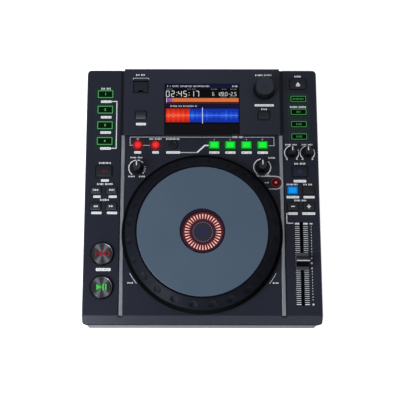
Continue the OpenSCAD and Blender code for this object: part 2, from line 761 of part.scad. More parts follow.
floor_rib_t = 1.6;
module floor_ribs() for (i = [1:5]) {
    base_d = base_back_y - base_front_y;
    translate([(i - 3) * base_w / 6 - floor_rib_t / 2, base_front_y + 14, foot_h])
        cube([floor_rib_t, base_d - 20, floor_t + floor_rib_h]);
    translate([-base_w / 2 + 1, base_front_y + i * base_d / 6 - floor_rib_t / 2, foot_h])
        cube([base_w - 2, floor_rib_t, floor_t + floor_rib_h]);
}

supply_x = base_w / 2 - 64.5;
supply_y = base_back_y - 92;
supply_w = 92;
supply_l = 130;
supply_z = floor_top + 8;
main_x = 102.5 - base_w / 2;
main_w = 170;
main_l = 118;
main_y = panel_y - panel_t - fit_gap - 12 - main_l / 2;

module at_corners(x, y, w, l) for (sx = [-1, 1], sy = [-1, 1])
    translate([x + sx * (w / 2 - 5), y + sy * (l / 2 - 5), 0]) children();

module bottom_case() color(base_colour) {
    difference() {
        union() {
            difference() {
                base_walls();
                in_front(base_front_y + front_wrap);
            }
            translate([0, 0, foot_h]) linear_extrude(floor_t) base_plan(base_wall);
            floor_ribs();
            on_deck() at_posts() translate([0, 0, -120]) cylinder(r = post_low_r, h = 120 - post_split);
            at_corners(supply_x, supply_y, supply_w, supply_l) translate([0, 0, foot_h])
                cylinder(r = 3, h = supply_z - foot_h);
            at_corners(main_x, main_y, main_w, main_l) translate([0, 0, foot_h])
                cylinder(r = 3, h = main_board_z - foot_h);
        }
        above_seam();
        vents();
        // nothing of the posts outside walls or floor
        difference() {
            translate([-case_w, -case_w, -60]) cube([2 * case_w, 2 * case_w, 200]);
            translate([0, 0, foot_h]) linear_extrude(200) base_plan(0);
        }
        // posts end flush with the inside of the front panel
        difference() {
            in_front(base_front_y + front_wrap);
            linear_extrude(200) base_plan(base_wall);
        }
        // window for the connector panel
        translate([-window_w / 2, panel_y - over, window_low])
            cube([window_w, base_wall + 2 * over, rear_window_h]);
        on_deck() at_posts() {
            translate([0, 0, -120]) cylinder(r = screw_clear_r, h = 120);
            translate([0, 0, -120]) cylinder(r = screw_head_r, h = 120 - post_split - screw_shelf);
        }
    }
    // lip that stands inside the top case
    on_deck(-seam_low) difference() {
        linear_extrude(seam_h + lip_h) plan(lip_w, lip_front, lip_back, 1.2, base_corner_r - lip_inset);
        translate([0, 0, -over]) linear_extrude(seam_h + lip_h + 2 * over)
            plan(lip_w - 2 * lip_t, lip_front + lip_t, lip_back - lip_t, 0.5,
                 base_corner_r - lip_inset - lip_t);
        translate([0, 0, -seam_low]) at_posts() translate([0, 0, -post_split])
            cylinder(r = post_top_r + 0.6, h = 60);
    }
}

module front_panel() color(light_colour) difference() {
    intersection() {
        base_walls();
        in_front(base_front_y + front_wrap);
    }
    above_seam();
}

module feet() color(dark_colour)
    for (sx = [-1, 1], y = [base_front_y + foot_inset, base_back_y - foot_inset])
        translate([sx * (base_w / 2 - foot_inset), y, 0]) rotate_extrude()
            polygon([[4, 1.6], [4, 0], [foot_r - 1, 0], [foot_r, 1], [foot_r - 1.4, foot_h],
                     [0, foot_h], [0, 1.6]]);

// ---- Back ----

module rear_panel() color(metal_colour) difference() {
    translate([-window_w / 2 - 3, panel_y - panel_t, window_low - 3])
        cube([window_w + 6, panel_t, rear_window_h + 6]);
    for (x = jack_xs) translate([x, panel_y + over, jack_z]) rotate([90, 0, 0])
        cylinder(r = jack_r + 0.4, h = panel_t + 2 * over);
    translate([lan_x - 8.3, panel_y - panel_t - over, main_board_z + board_t - 0.3])
        cube([16.6, panel_t + 2 * over, 14.1]);
    translate([usb_b_x - 6.3, panel_y - panel_t - over, main_board_z + board_t - 0.3])
        cube([12.6, panel_t + 2 * over, 11.6]);
    translate([inlet_x - inlet_w / 2 - 0.2, panel_y - panel_t - over, inlet_z - inlet_h / 2 - 0.2])
        cube([inlet_w + 0.4, panel_t + 2 * over, inlet_h + 0.4]);
    translate([rocker_x - rocker_w / 2 - 2.2, panel_y - panel_t - over, inlet_z - rocker_h / 2 - 2.4])
        cube([rocker_w + 4.4, panel_t + 2 * over, rocker_h + 4.8]);
}

// Mains inlet with its three blades, and the frame of the rocker switch
module mains_inlet() color(dark_colour) {
    translate([inlet_x, panel_y, inlet_z]) {
        difference() {
            union() {
                along_y_from(-24, 26) square([inlet_w, inlet_h], center = true);
                along_y_from(0, 2) rounded(inlet_w + 5, inlet_h + 5, 2);
            }
            along_y_from(-16, 19) inlet_mouth(24, 16.2);
        }
        for (p = [[-7, -2], [7, -2], [0, 2]]) translate([p[0] - 1, -17, p[1] - 2])
            cube([2, 11.5, 4]);
    }
    translate([rocker_x, panel_y, inlet_z]) difference() {
        union() {
            along_y_from(-12, 13) square([rocker_w + 4, rocker_h + 4], center = true);
            along_y_from(0, 1.4) rounded(rocker_w + 7, rocker_h + 7, 1.5);
        }
        along_y_from(-10, 13) square([rocker_w + 0.8, rocker_h + 1.6], center = true);
        translate([0, -rocker_depth, 0]) rotate([0, 90, 0])
            cylinder(r = rocker_pin_r + run_gap, h = rocker_w + 3.2, center = true);
    }
}

// A 2D shape drawn as (x, z), run along y from y0
module along_y_from(y0, l) translate([0, y0 + l, 0]) rotate([90, 0, 0]) linear_extrude(l) children();

module inlet_mouth(w, h)
    polygon([[-w / 2, -h / 2], [w / 2, -h / 2], [w / 2, h / 2 - 5], [w / 2 - 5, h / 2],
             [5 - w / 2, h / 2], [-w / 2, h / 2 - 5]]);

module power_switch() color(dark_colour)
    translate([rocker_x, panel_y - rocker_depth, inlet_z]) rotate([rocker_rest, 0, 0]) {
        along_x(rocker_w) polygon([[-4.5, -4.5], [2, -rocker_half], [6.6, -rocker_half],
                                   [5.2, 0], [6.6, rocker_half], [2, rocker_half], [-4.5, 4.5]]);
        rotate([0, 90, 0]) cylinder(r = rocker_pin_r, h = rocker_w + 2.6, center = true);
    }

// Jacks and data sockets on the main board, and the upright socket under the cover
module sockets() color(metal_colour) {
    for (x = jack_xs) {
        translate([x, panel_y - panel_t, jack_z]) difference() {
            union() {
                translate([-6, -13, -jack_z + main_board_z + board_t]) cube([12, 13, 15]);
                rotate([-90, 0, 0]) cylinder(r = jack_r, h = panel_t + 7);
            }
            translate([0, panel_t - 2, 0]) rotate([-90, 0, 0]) cylinder(r = 1.7, h = 10);
        }
    }
    translate([lan_x, panel_y, main_board_z + board_t]) difference() {
        translate([-8, -20, 0]) cube([16, 20.5, 13.5]);
        translate([-5.9, -12, 2]) cube([11.8, 14, 8.2]);
    }
    translate([usb_b_x, panel_y, main_board_z + board_t]) difference() {
        translate([-6, -16, 0]) cube([12, 16.5, 11]);
        difference() {
            translate([-4.2, -9, 1.5]) cube([8.4, 11, 7.8]);
            translate([-2.8, -10, 3.8]) cube([5.6, 9.6, 3.2]);
        }
    }
    on_deck() translate([cover_x, cover_y, 0]) difference() {
        translate([-port_w / 2, -port_l / 2, -board_h])
            cube([port_w, port_l, board_h + hood_rise - pocket_depth + 0.6]);
        difference() {
            translate([-6.2, -2.4, hood_rise - pocket_depth - 8]) cube([12.4, 4.8, 10]);
            translate([-5.6, -0.3, hood_rise - pocket_depth - 9]) cube([11.2, 1.8, 8.6]);
        }
    }
}

// ---- Electronics ----

module board_left() difference() {
    translate([-board_out, 14]) square([board_w, board_back - 14]);
    at_posts() circle(post_top_r + 0.8);
}

module board_right() difference() {
    translate([board_out - board_w, board_right_y]) square([board_w, board_back - board_right_y]);
    at_posts() circle(post_top_r + 0.8);
}

module board_centre() {
    half = channel_in - 1.3;
    front = loop_y - 22;
    translate([-half, front]) square([2 * half, board_back - front]);
    // tongues under the knobs and the slip key
    translate([KNOBS[1][1] - 10, slip_y - 10]) square([half - KNOBS[1][1] + 10, front - slip_y + 12]);
    translate([-half, KNOBS[0][2] - 14]) square([half + KNOBS[0][1] + 14, front - KNOBS[0][2] + 16]);
}

module circuit_boards() color(board_colour) {
    on_deck() {
        translate([0, 0, -board_h - board_t]) linear_extrude(board_t) {
            board_left();
            board_right();
            board_centre();
        }
        for (k = KEYS) translate([k[1], k[2], -board_h]) {
            translate([-switch_w / 2, -switch_w / 2, 0]) cube([switch_w, switch_w, switch_h]);
            cylinder(r = 1.5, h = switch_h + nub_h);
        }
        for (k = KNOBS) translate([k[1], k[2], -board_h]) difference() {
            cylinder(r = pot_r - 0.6, h = pot_h);
            translate([0, 0, 1]) cylinder(r = knob_shaft_r + run_gap, h = pot_h);
        }
        translate([browse_x, browse_y, -board_h]) difference() {
            linear_extrude(pot_h) square(13, center = true);
            translate([0, 0, 1]) cylinder(r = knob_shaft_r + run_gap, h = pot_h);
        }
    }
    // main board on the floor
    translate([main_x - main_w / 2, main_y - main_l / 2, main_board_z]) {
        cube([main_w, main_l + 12, board_t]);
        translate([70, 30, board_t]) cube([28, 28, 2.4]);
        translate([112, 40, board_t]) cube([18, 12, 1.6]);
        translate([24, 28, board_t]) cube([14, 20, 1.6]);
        for (i = [0:3]) translate([20 + i * 16, 86, board_t]) cylinder(r = 4, h = 11);
    }
}

module power_supply() color(board_colour)
    translate([supply_x - supply_w / 2, supply_y - supply_l / 2, supply_z]) {
        cube([supply_w, supply_l, board_t]);
        translate([14, 46, board_t]) cube([34, 30, 27]);
        translate([60, 16, board_t]) cube([22, 26, 18]);
        for (i = [0:6]) translate([64 + i * 3, 60, board_t]) cube([1.2, 44, 26]);
        translate([63, 60, board_t]) cube([20, 44, 3]);
        for (y = [16, 34]) translate([22, y, board_t]) cylinder(r = 8, h = 24);
        translate([12, 96, board_t]) cube([20, 24, 16]);
        translate([40, 98, board_t]) cylinder(r = 5, h = 16);
    }

// ---- Jog wheel ----

module at_jog() on_deck() translate([0, jog_y, 0]) children();

// Dish under the deck with the hollow post on which the wheel turns
module jog_base() color(base_colour) at_jog() rotate_extrude() polygon([
    [post_bore_r, -dish_depth], [jog_hole_r + dish_wall, -dish_depth],
    [jog_hole_r + dish_wall, -deck_wall - dish_wall], [jog_hole_r + 20, -deck_wall - dish_wall],
    [jog_hole_r + 20, -deck_wall], [jog_hole_r, -deck_wall],
    [jog_hole_r, dish_wall - dish_depth], [shoulder_r, dish_wall - dish_depth],
    [shoulder_r, bearing_low], [post_r, bearing_low], [post_r, display_low],
    [post_bore_r, display_low]]);

// Two ball bearings with a spacer between them
module jog_bearings() color(metal_colour) at_jog() rotate_extrude() polygon([
    [post_r + 0.02, bearing_low], [bearing_r, bearing_low], [bearing_r, bearing_low + bearing_t],
    [post_r + 1.6, bearing_low + bearing_t], [post_r + 1.6, bearing_high],
    [bearing_r, bearing_high], [bearing_r, bearing_high + bearing_t],
    [post_r + 0.02, bearing_high + bearing_t]]);

// Fork-shaped light barrier that reads the position ring
module jog_sensor() color(dark_colour) at_jog()
    translate([0, 0, dish_wall - dish_depth]) difference() {
        translate([-5, code_r - 5, 0]) cube([10, 8.6, dish_depth - dish_wall - 1]);
        translate([-5 - over, code_r - 1.3, 2.2]) cube([10 + 2 * over, code_t + 2.6, dish_depth]);
    }

module dimples() for (i = [0:dimple_count - 1]) {
    // sphere whose cap on the band has the dimple's radius and depth
    ball_r = (pow(dimple_r, 2) + pow(dimple_depth, 2)) / (2 * dimple_depth);
    mid = 0.53;
    rotate((i + 0.5) * 360 / dimple_count - 90)
        translate([band_top_r + mid * band_run + (ball_r - dimple_depth) * band_fall / band_l, 0,
                   band_top_h - mid * band_fall + (ball_r - dimple_depth) * band_run / band_l])
            sphere(ball_r);
}

// Wheel: hub, web, sloped finger band and skirt
module jog_ring() color(dark_colour) at_jog() difference() {
    inner_r = band_top_r - band_t * band_fall / band_l;
    inner_h = band_top_h - band_t * band_run / band_l;
    web_low = web_top - web_t;
    union() {
        rotate_extrude() polygon([
            [bearing_r + run_gap, bearing_low - 0.4], [hub_r, bearing_low - 0.4], [hub_r, web_low],
            [inner_r + (inner_h - web_low) * band_run / band_fall, web_low],
            [band_r - band_t * band_fall / band_l, band_h - band_t * band_run / band_l],
            [jog_r - band_t, jog_lift + 1.6], [jog_r - band_t, jog_lift], [jog_r, jog_lift],
            [jog_r, jog_lift + 2], [band_r, band_h], [band_top_r, band_top_h],
            [band_top_r - 0.7, jog_h - 0.1], [disc_r + 1.7, jog_h - 0.1], [disc_r + 1.2, jog_h - 0.6],
            [disc_r + 1.2, web_top], [bearing_r + run_gap, web_top]]);
        translate([0, 0, -6]) rotate_extrude()
            polygon([[code_r - code_t / 2, 0], [code_r + code_t / 2, 0],
                     [code_r + code_t / 2, web_low + 6.5], [code_r - code_t / 2, web_low + 6.5]]);
        for (i = [0:5]) rotate(i * 60) translate([hub_r - 1, -0.9, web_low - 5])
            cube([code_r - hub_r, 1.8, 5.5]);
    }
    dimples();
    for (i = [0:code_slots - 1]) rotate(i * 360 / code_slots)
        translate([code_r - code_t, -1.3, -6 - over]) cube([2 * code_t, 2.6, 6]);
}

module jog_plate() color(disc_colour) at_jog() rotate_extrude() polygon([
    [display_r + 0.5, web_top], [disc_r, web_top], [disc_r, jog_h - 0.6], [disc_r - 0.6, jog_h],
    [display_r + 0.9, jog_h], [display_r + 0.5, jog_h - 0.4]]);

// Fixed round display, carried by a stem in the post's bore
module centre_display() color(dark_colour) at_jog() rotate_extrude() polygon([
    [0, display_low - display_stem_l], [post_bore_r - 0.1, display_low - display_stem_l],
    [post_bore_r - 0.1, display_low],
    [display_r, display_low], [display_r, jog_h - 0.5], [display_r - 0.4, jog_h - 0.1],
    [display_r - 2.2, jog_h - 0.1], [display_r - 2.6, jog_h - 0.4], [0, jog_h - 0.4]]);

// ---- Knobs ----

module flutes(r, h, count, depth) for (i = [0:count - 1]) rotate(i * 360 / count)
    translate([r + depth, 0, -over]) cylinder(r = 2 * depth, h = h + 2 * over, $fn = 24);

module knob(k) color(dark_colour) on_deck() translate([k[1], k[2], 0]) {
    r = k[3];
    difference() {
        translate([0, 0, knob_lift]) rotate_extrude() polygon([
            [0, 0], [r, 0], [r, 2.4], [r - 0.5, 2.9], [r - 1, 3], [r - 1.7, knob_h - 1.2],
            [r - 2.7, knob_h], [r - 3.7, knob_h - 0.3], [0, knob_h - 0.3]]);
        translate([0, 0, knob_lift + 3]) flutes(r - 0.9, knob_h, 14, 0.42);
        // groove of the pointer, towards the back
        translate([-0.5, r - 6, knob_h + knob_lift - 0.8]) cube([1, 6, 2]);
    }
    translate([0, 0, -board_h + 1.4]) cylinder(r = knob_shaft_r, h = board_h - 1.4 + knob_lift + 1);
}

module browse_shaft() color(metal_colour) on_deck() translate([browse_x, browse_y, 0]) {
    translate([0, 0, -board_h + 2.2]) cylinder(r = knob_shaft_r, h = board_h - 2.2 + hood_rise + 9);
    // collar that stops under the hood
    translate([0, 0, hood_rise - hood_wall - flange_play - 1.5])
        cylinder(r = knob_shaft_r + 2.5, h = 1.5);
}

module browse_knob() color(dark_colour) on_deck(hood_rise) translate([browse_x, browse_y, 0])
    difference() {
        lift = browse_travel + 0.6;
        top = browse_h;
        rotate_extrude() polygon([
            [knob_shaft_r + run_gap, lift], [browse_r - 0.6, lift], [browse_r, lift + 0.6],
            [browse_r, lift + 2], [browse_r - 1.3, top - 2], [browse_r - 2.5, top - 0.5],
            [browse_r - 3.6, top], [0, top - 0.6], [0, 9 + fit_gap],
            [knob_shaft_r + run_gap, 9 + fit_gap]]);
        flutes(browse_r, top, 30, 0.35);
    }

// ---- Pitch fader ----

module at_fader() on_deck() translate([fader_x, fader_y, 0]) children();

module pitch_fader_body() color(metal_colour) at_fader() {
    difference() {
        translate([-fader_box_w / 2, -fader_box_l / 2, -deck_wall - fader_box_h])
            cube([fader_box_w, fader_box_l, fader_box_h]);
        translate([fader_box_wall - fader_box_w / 2, fader_box_wall - fader_box_l / 2,
                   -deck_wall - fader_box_h + fader_box_wall])
            cube([fader_box_w - 2 * fader_box_wall, fader_box_l - 2 * fader_box_wall,
                  fader_box_h - 2 * fader_box_wall]);
        translate([-fader_slot_w / 2 - 1, -slot_l / 2 - 1, -deck_wall - 2 * fader_box_wall])
            cube([fader_slot_w + 2, slot_l + 2, 3 * fader_box_wall]);
    }
    for (s = [-1, 1]) translate([s * rod_x, 0, -deck_wall - rod_drop]) rotate([90, 0, 0])
        cylinder(r = rod_r, h = fader_box_l - fader_box_wall, center = true);
}

// Cap with hollowed flanks and a ridge across its middle
module cap_profile() {
    flank = cap_l / 2 - 1.8;
    sag = 1.4;
    steps = 6;
    function rise(i) = i / steps;
    function side(s) = [for (i = [0:steps]) let (t = s > 0 ? rise(steps - i) : rise(i))
        [s * (flank - (flank - 1.6) * (1 - t)), 5.2 + (cap_h - 5.2) * (1 - t) - sag * sin(180 * t)]];
    polygon(concat([[cap_l / 2, 0.9], [cap_l / 2, 3.6]],
                   [for (p = side(1)) p],
                   [for (p = side(-1)) p],
                   [[-cap_l / 2, 3.6], [-cap_l / 2, 0.9]]));
}

module fader_cap() color(dark_colour) at_fader() translate([0, cap_offset, 0]) {
    intersection() {
        along_x(cap_w) cap_profile();
        along_y(cap_l + over) polygon([[-cap_w / 2, 0], [cap_w / 2, 0], [cap_w / 2, 3.6],
                                       [cap_w / 2 - 1.6, cap_h + over], [1.6 - cap_w / 2, cap_h + over],
                                       [-cap_w / 2, 3.6]]);
    }
    translate([-stem_t / 2, -stem_l / 2, -deck_wall - rod_drop])
        cube([stem_t, stem_l, deck_wall + rod_drop + 2]);
    difference() {
        translate([-carriage_w / 2, -carriage_l / 2, -deck_wall - rod_drop - carriage_h / 2])
            cube([carriage_w, carriage_l, carriage_h]);
        for (s = [-1, 1]) translate([s * rod_x, 0, -deck_wall - rod_drop]) rotate([90, 0, 0])
            cylinder(r = rod_r + run_gap, h = carriage_l + 2 * over, center = true);
    }
}

// ---- Cover over the top socket ----

module usb_cover() color(dark_colour) on_deck() difference() {
    front = cover_y - cover_l / 2;
    union() {
        translate([cover_x - cover_w / 2, front, hood_rise - cover_t])
            cube([cover_w, cover_l - 2 * barrel_r, cover_t]);
        // strip that joins the plate to its lower barrel
        translate([cover_x - cover_w / 2, hinge_y - barrel_r - over, hood_rise - cover_t])
            cube([cover_w, barrel_r + over, cover_t - barrel_drop]);
        translate([cover_x, hinge_y, hinge_h]) rotate([0, 90, 0]) {
            cylinder(r = barrel_r, h = cover_w, center = true);
            cylinder(r = cover_pin_r, h = pin_l, center = true);
        }
    }
    translate([cover_x, front + notch_depth - notch_r, hood_rise - cover_t - over])
        cylinder(r = notch_r, h = cover_t + 2 * over);
}

// ---- Keys ----

// Round cap with a chamfer and a shallow dish in its face
module round_cap(r, low, top) rotate_extrude() polygon([
    [0, low], [r, low], [r, top - 0.7], [r - 0.7, top], [r - 1.6, top], [r - 2.2, top - 0.3],
    [0, top - 0.3]]);

module key(k) color(deck_colour) on_deck() translate([k[1], k[2], 0]) {
    under = key_under(k) - flange_play;
    top = key_top(k);
    if (k[5]) round_cap(k[3] / 2, under, top);
    else translate([0, 0, under]) soft_block(k[3], k[4], top - under, key_corner_r, 0.6);
    translate([0, 0, under - flange_t]) linear_extrude(flange_t) key_plan(k, key_flange);
    translate([0, 0, plunger_low]) cylinder(r = 2, h = under - plunger_low);
}

top_case();
screen_hood();
bottom_case();
front_panel();
rear_panel();
trim_rails();
screen_glass();
display_module();
circuit_boards();
power_supply();
jog_base();
jog_bearings();
jog_sensor();
centre_display();
mains_inlet();
sockets();
feet();
pitch_fader_body();
jog_ring();
jog_plate();
browse_shaft();
browse_knob();
fader_cap();
usb_cover();
power_switch();
for (k = KNOBS) knob(k);
for (k = KEYS) key(k);
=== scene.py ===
import bpy
import bmesh
import json
import math
from mathutils import Matrix, Vector
from mathutils.bvhtree import BVHTree


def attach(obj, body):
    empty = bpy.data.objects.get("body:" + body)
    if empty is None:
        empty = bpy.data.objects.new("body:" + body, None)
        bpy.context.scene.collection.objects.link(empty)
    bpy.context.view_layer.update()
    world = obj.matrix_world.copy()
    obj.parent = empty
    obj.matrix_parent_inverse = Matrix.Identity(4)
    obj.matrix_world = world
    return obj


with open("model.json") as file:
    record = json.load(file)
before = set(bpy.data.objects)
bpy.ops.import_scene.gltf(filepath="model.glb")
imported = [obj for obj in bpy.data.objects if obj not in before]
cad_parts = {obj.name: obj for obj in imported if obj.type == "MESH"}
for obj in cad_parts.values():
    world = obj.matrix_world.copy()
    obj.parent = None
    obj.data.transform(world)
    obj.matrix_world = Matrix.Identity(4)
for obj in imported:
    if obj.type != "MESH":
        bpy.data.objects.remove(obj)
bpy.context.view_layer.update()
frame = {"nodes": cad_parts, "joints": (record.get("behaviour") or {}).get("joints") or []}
nodes = frame["nodes"]
print("frame loaded:", len(nodes), "parts")

# deck coordinates: millimetres, x right, y up the slope, z off the deck's face

jogJoint = next(j for j in frame["joints"] if j["name"] == "jog_turn")
deckUp = Vector(jogJoint["axis"]).normalized()
deckBack = Vector((0, deckUp.z, -deckUp.y))
casePoints = [v.co for v in nodes["top_case"].data.vertices]
deckLevel = max(p.dot(deckUp) for p in casePoints)
deckEdge = min(p.dot(deckBack) for p in casePoints if p.dot(deckUp) > deckLevel - 5e-5)
deckOrigin = deckUp * deckLevel + deckBack * deckEdge
deckTilt = math.atan2(deckBack.z, deckBack.y)
deckMatrix = (Matrix.Translation(deckOrigin) @ Matrix.Rotation(deckTilt, 4, "X")
              @ Matrix.Scale(0.001, 4))
worldToDeck = deckMatrix.inverted()


def deckBox(name):
    # a part's lowest and highest corner in deck millimetres
    points = [worldToDeck @ v.co for v in nodes[name].data.vertices]
    low = Vector(min(p[i] for p in points) for i in range(3))
    high = Vector(max(p[i] for p in points) for i in range(3))
    return low, high


def topSpot(name):
    # the middle of a part's top, in deck millimetres
    low, high = deckBox(name)
    return (low.x + high.x) / 2, (low.y + high.y) / 2, high.z


def faceSize(name, depth=0.6):
    # how wide and how long a part is near its top
    level = deckBox(name)[1].z - depth
    points = [p for p in (worldToDeck @ v.co for v in nodes[name].data.vertices) if p.z > level]
    return tuple(max(p[i] for p in points) - min(p[i] for p in points) for i in (0, 1))


def worldSpot(x, y, h=0):
    return tuple(deckMatrix @ Vector((x, y, h)))


jogPoint = worldToDeck @ Vector(jogJoint["pos_m"])
jogCentre = (jogPoint.x, jogPoint.y)


def srgb(r, g, b, a=1.0):
    # a screen colour as linear light
    def linear(v):
        v /= 255
        return v / 12.92 if v <= 0.04045 else ((v + 0.055) / 1.055) ** 2.4
    return linear(r), linear(g), linear(b), a


def startMaterial(name, **sockets):
    material = bpy.data.materials.new(name)
    material.use_nodes = True
    tree = material.node_tree
    shader = tree.nodes["Principled BSDF"]
    for socket, value in sockets.items():
        shader.inputs[socket.replace("_", " ")].default_value = value
    return material, tree, shader


def place(tree, at=(0, 0, 0), turn=(0, 0, 0), scale=(1, 1, 1)):
    # object coordinates, moved so that a pattern starts at one spot
    coords = tree.nodes.new("ShaderNodeTexCoord")
    mapping = tree.nodes.new("ShaderNodeMapping")
    mapping.vector_type = "TEXTURE"
    mapping.inputs["Location"].default_value = at
    mapping.inputs["Rotation"].default_value = turn
    mapping.inputs["Scale"].default_value = scale
    tree.links.new(coords.outputs["Object"], mapping.inputs["Vector"])
    return mapping.outputs["Vector"]


def noise(tree, vector, scale, detail=3.0, roughness=0.55):
    node = tree.nodes.new("ShaderNodeTexNoise")
    node.inputs["Scale"].default_value = scale
    node.inputs["Detail"].default_value = detail
    node.inputs["Roughness"].default_value = roughness
    tree.links.new(vector, node.inputs["Vector"])
    return node.outputs["Fac"]


def span(tree, value, fromLow, fromHigh, toLow, toHigh):
    node = tree.nodes.new("ShaderNodeMapRange")
    for socket, number in (("From Min", fromLow), ("From Max", fromHigh),
                           ("To Min", toLow), ("To Max", toHigh)):
        node.inputs[socket].default_value = number
    tree.links.new(value, node.inputs["Value"])
    return node.outputs["Result"]


def math2(tree, kind, a, b=0.0):
    node = tree.nodes.new("ShaderNodeMath")
    node.operation = kind
    for i, value in enumerate((a, b)):
        if isinstance(value, (int, float)):
            node.inputs[i].default_value = value
        else:
            tree.links.new(value, node.inputs[i])
    return node.outputs["Value"]


def ramp(tree, factor, stops):
    node = tree.nodes.new("ShaderNodeValToRGB")
    points = node.color_ramp.elements
    while len(points) < len(stops):
        points.new(0.5)
    for point, (where, colour) in zip(points, stops):
        point.position = where
        point.color = colour
    tree.links.new(factor, node.inputs["Fac"])
    return node.outputs["Color"]


def mixTones(tree, factor, first, second):
    # the first tone where the factor is 0, the second where it is 1
    node = tree.nodes.new("ShaderNodeMix")
    node.data_type = "RGBA"
    tree.links.new(factor, node.inputs["Factor"])
    for socket, tone in (("A", first), ("B", second)):
        if isinstance(tone, tuple):
            node.inputs[socket].default_value = tone
        else:
            tree.links.new(tone, node.inputs[socket])
    return node.outputs["Result"]


def turnedRings(tree, vector, scale):
    node = tree.nodes.new("ShaderNodeTexWave")
    node.wave_type = "RINGS"
    node.rings_direction = "Z"
    node.inputs["Scale"].default_value = scale
    tree.links.new(vector, node.inputs["Vector"])
    return node.outputs["Fac"]


def bump(tree, shader, height, strength, distance):
    node = tree.nodes.new("ShaderNodeBump")
    node.inputs["Strength"].default_value = strength
    node.inputs["Distance"].default_value = distance
    tree.links.new(height, node.inputs["Height"])
    tree.links.new(node.outputs["Normal"], shader.inputs["Normal"])


def setTone(tree, shader, pattern, stops):
    tone = ramp(tree, pattern, stops)
    tree.links.new(tone, shader.inputs["Base Color"])
    return tone


def setRoughness(tree, shader, pattern, low, high):
    tree.links.new(span(tree, pattern, 0.3, 0.7, low, high), shader.inputs["Roughness"])


def shade(colour, factor):
    return tuple(c * factor for c in colour[:3]) + (1.0,)


def onPart(tree, part):
    # x and y over a part's face, measured from its middle
    here = place(tree, at=worldSpot(*topSpot(part)), turn=(deckTilt, 0, 0))
    axes = tree.nodes.new("ShaderNodeSeparateXYZ")
    tree.links.new(here, axes.inputs["Vector"])
    return here, axes.outputs["X"], axes.outputs["Y"]


def outward(tree, part, isRound):
    # 0 in the middle of a part's face, 1 at its edge
    wide, long = faceSize(part)
    here, x, y = onPart(tree, part)
    across = math2(tree, "DIVIDE", x, wide / 2000)
    along = math2(tree, "DIVIDE", y, long / 2000)
    if isRound:
        squares = [math2(tree, "MULTIPLY", v, v) for v in (across, along)]
        return math2(tree, "SQRT", math2(tree, "ADD", *squares))
    return math2(tree, "MAXIMUM", *[math2(tree, "ABSOLUTE", v) for v in (across, along)])


def mouldedPlastic(name, colour, rough=0.42, grain=2600, depth=0.00004, drift=0.14, gloss=0.3):
    # fine spark-eroded texture with a slow drift in tone and gloss
    material, tree, shader = startMaterial(name, Specular_IOR_Level=gloss)
    here = place(tree)
    slow = noise(tree, here, 9, 2)
    fine = noise(tree, here, grain, 2, 0.6)
    mixed = math2(tree, "ADD", math2(tree, "MULTIPLY", slow, 0.7), math2(tree, "MULTIPLY", fine, 0.3))
    setTone(tree, shader, mixed, [(0.25, shade(colour, 1 - drift)), (0.75, shade(colour, 1 + drift))])
    setRoughness(tree, shader, slow, rough - 0.04, rough + 0.04)
    bump(tree, shader, fine, 0.35, depth)
    return material


toneEdge = 0.0004  # half the width over which one tone runs into the next


def panelPaint(name, colour, seamShadeColour, seamShadeFrom, rough=0.6):
    # pale satin paint under a dark strip along the seam, painted shade of the case's overhanging lip
    material, tree, shader = startMaterial(name, Specular_IOR_Level=0.03)
    here = place(tree)
    fine = noise(tree, here, 3000, 2, 0.6)
    cloud = noise(tree, here, 12, 3)
    tone = ramp(tree, cloud, [(0.3, shade(colour, 0.95)), (0.7, shade(colour, 1.05))])
    axes = tree.nodes.new("ShaderNodeSeparateXYZ")
    tree.links.new(here, axes.inputs["Vector"])
    # the strip along the upper edge is painted shade, not a colour of the paint
    inSeamShade = span(tree, axes.outputs["Z"], seamShadeFrom - toneEdge, seamShadeFrom + toneEdge, 0, 1)
    tree.links.new(mixTones(tree, inSeamShade, tone, seamShadeColour), shader.inputs["Base Color"])
    setRoughness(tree, shader, fine, rough - 0.04, rough + 0.04)
    bump(tree, shader, fine, 0.3, 0.00002)
    return material


def wheelRubber(name, colour, skirtShadeColour, centre, bandEdge):
    # soft-touch band; the skirt outside it is duller and painted near black as shade
    material, tree, shader = startMaterial(name, Specular_IOR_Level=0.06)
    here = place(tree, at=centre, turn=(deckTilt, 0, 0))
    flat = tree.nodes.new("ShaderNodeVectorMath")
    flat.operation = "MULTIPLY"
    flat.inputs[1].default_value = (1, 1, 0)
    tree.links.new(here, flat.inputs[0])
    reach = tree.nodes.new("ShaderNodeVectorMath")
    reach.operation = "LENGTH"
    tree.links.new(flat.outputs["Vector"], reach.inputs[0])
    onShadedSkirt = span(tree, reach.outputs["Value"], bandEdge - toneEdge, bandEdge + toneEdge, 0, 1)
    dust = noise(tree, here, 70, 4, 0.65)
    fine = noise(tree, here, 1900, 3)
    tone = ramp(tree, dust, [(0.3, shade(colour, 0.85)), (0.75, shade(colour, 1.25))])
    tree.links.new(mixTones(tree, onShadedSkirt, tone, skirtShadeColour), shader.inputs["Base Color"])
    dull = math2(tree, "MULTIPLY", onShadedSkirt, 0.45)
    rough = span(tree, dust, 0.3, 0.7, 0.44, 0.54)
    tree.links.new(math2(tree, "ADD", rough, dull), shader.inputs["Roughness"])
    bump(tree, shader, fine, 0.25, 0.00005)
    return material


def keyPlasticPaintedLight(name, part, stops, rough=0.42, grain=0.1, gloss=0.25):
    # moulded part whose tone runs from its back edge to its front edge: painted light and shade across
    # its face
    material, tree, shader = startMaterial(name, Specular_IOR_Level=gloss)
    low, high = deckBox(part)
    here, x, y = onPart(tree, part)
    half = (high.y - low.y) / 2000
    fine = noise(tree, here, 2200, 2, 0.6)
    paintedLightSlope = span(tree, y, half, -half, -grain / 2, 1 - grain / 2)
    mixed = math2(tree, "ADD", paintedLightSlope, math2(tree, "MULTIPLY", fine, grain))
    setTone(tree, shader, mixed, stops)
    setRoughness(tree, shader, fine, rough - 0.04, rough + 0.04)
    bump(tree, shader, fine, 0.3, 0.00004)
    return material


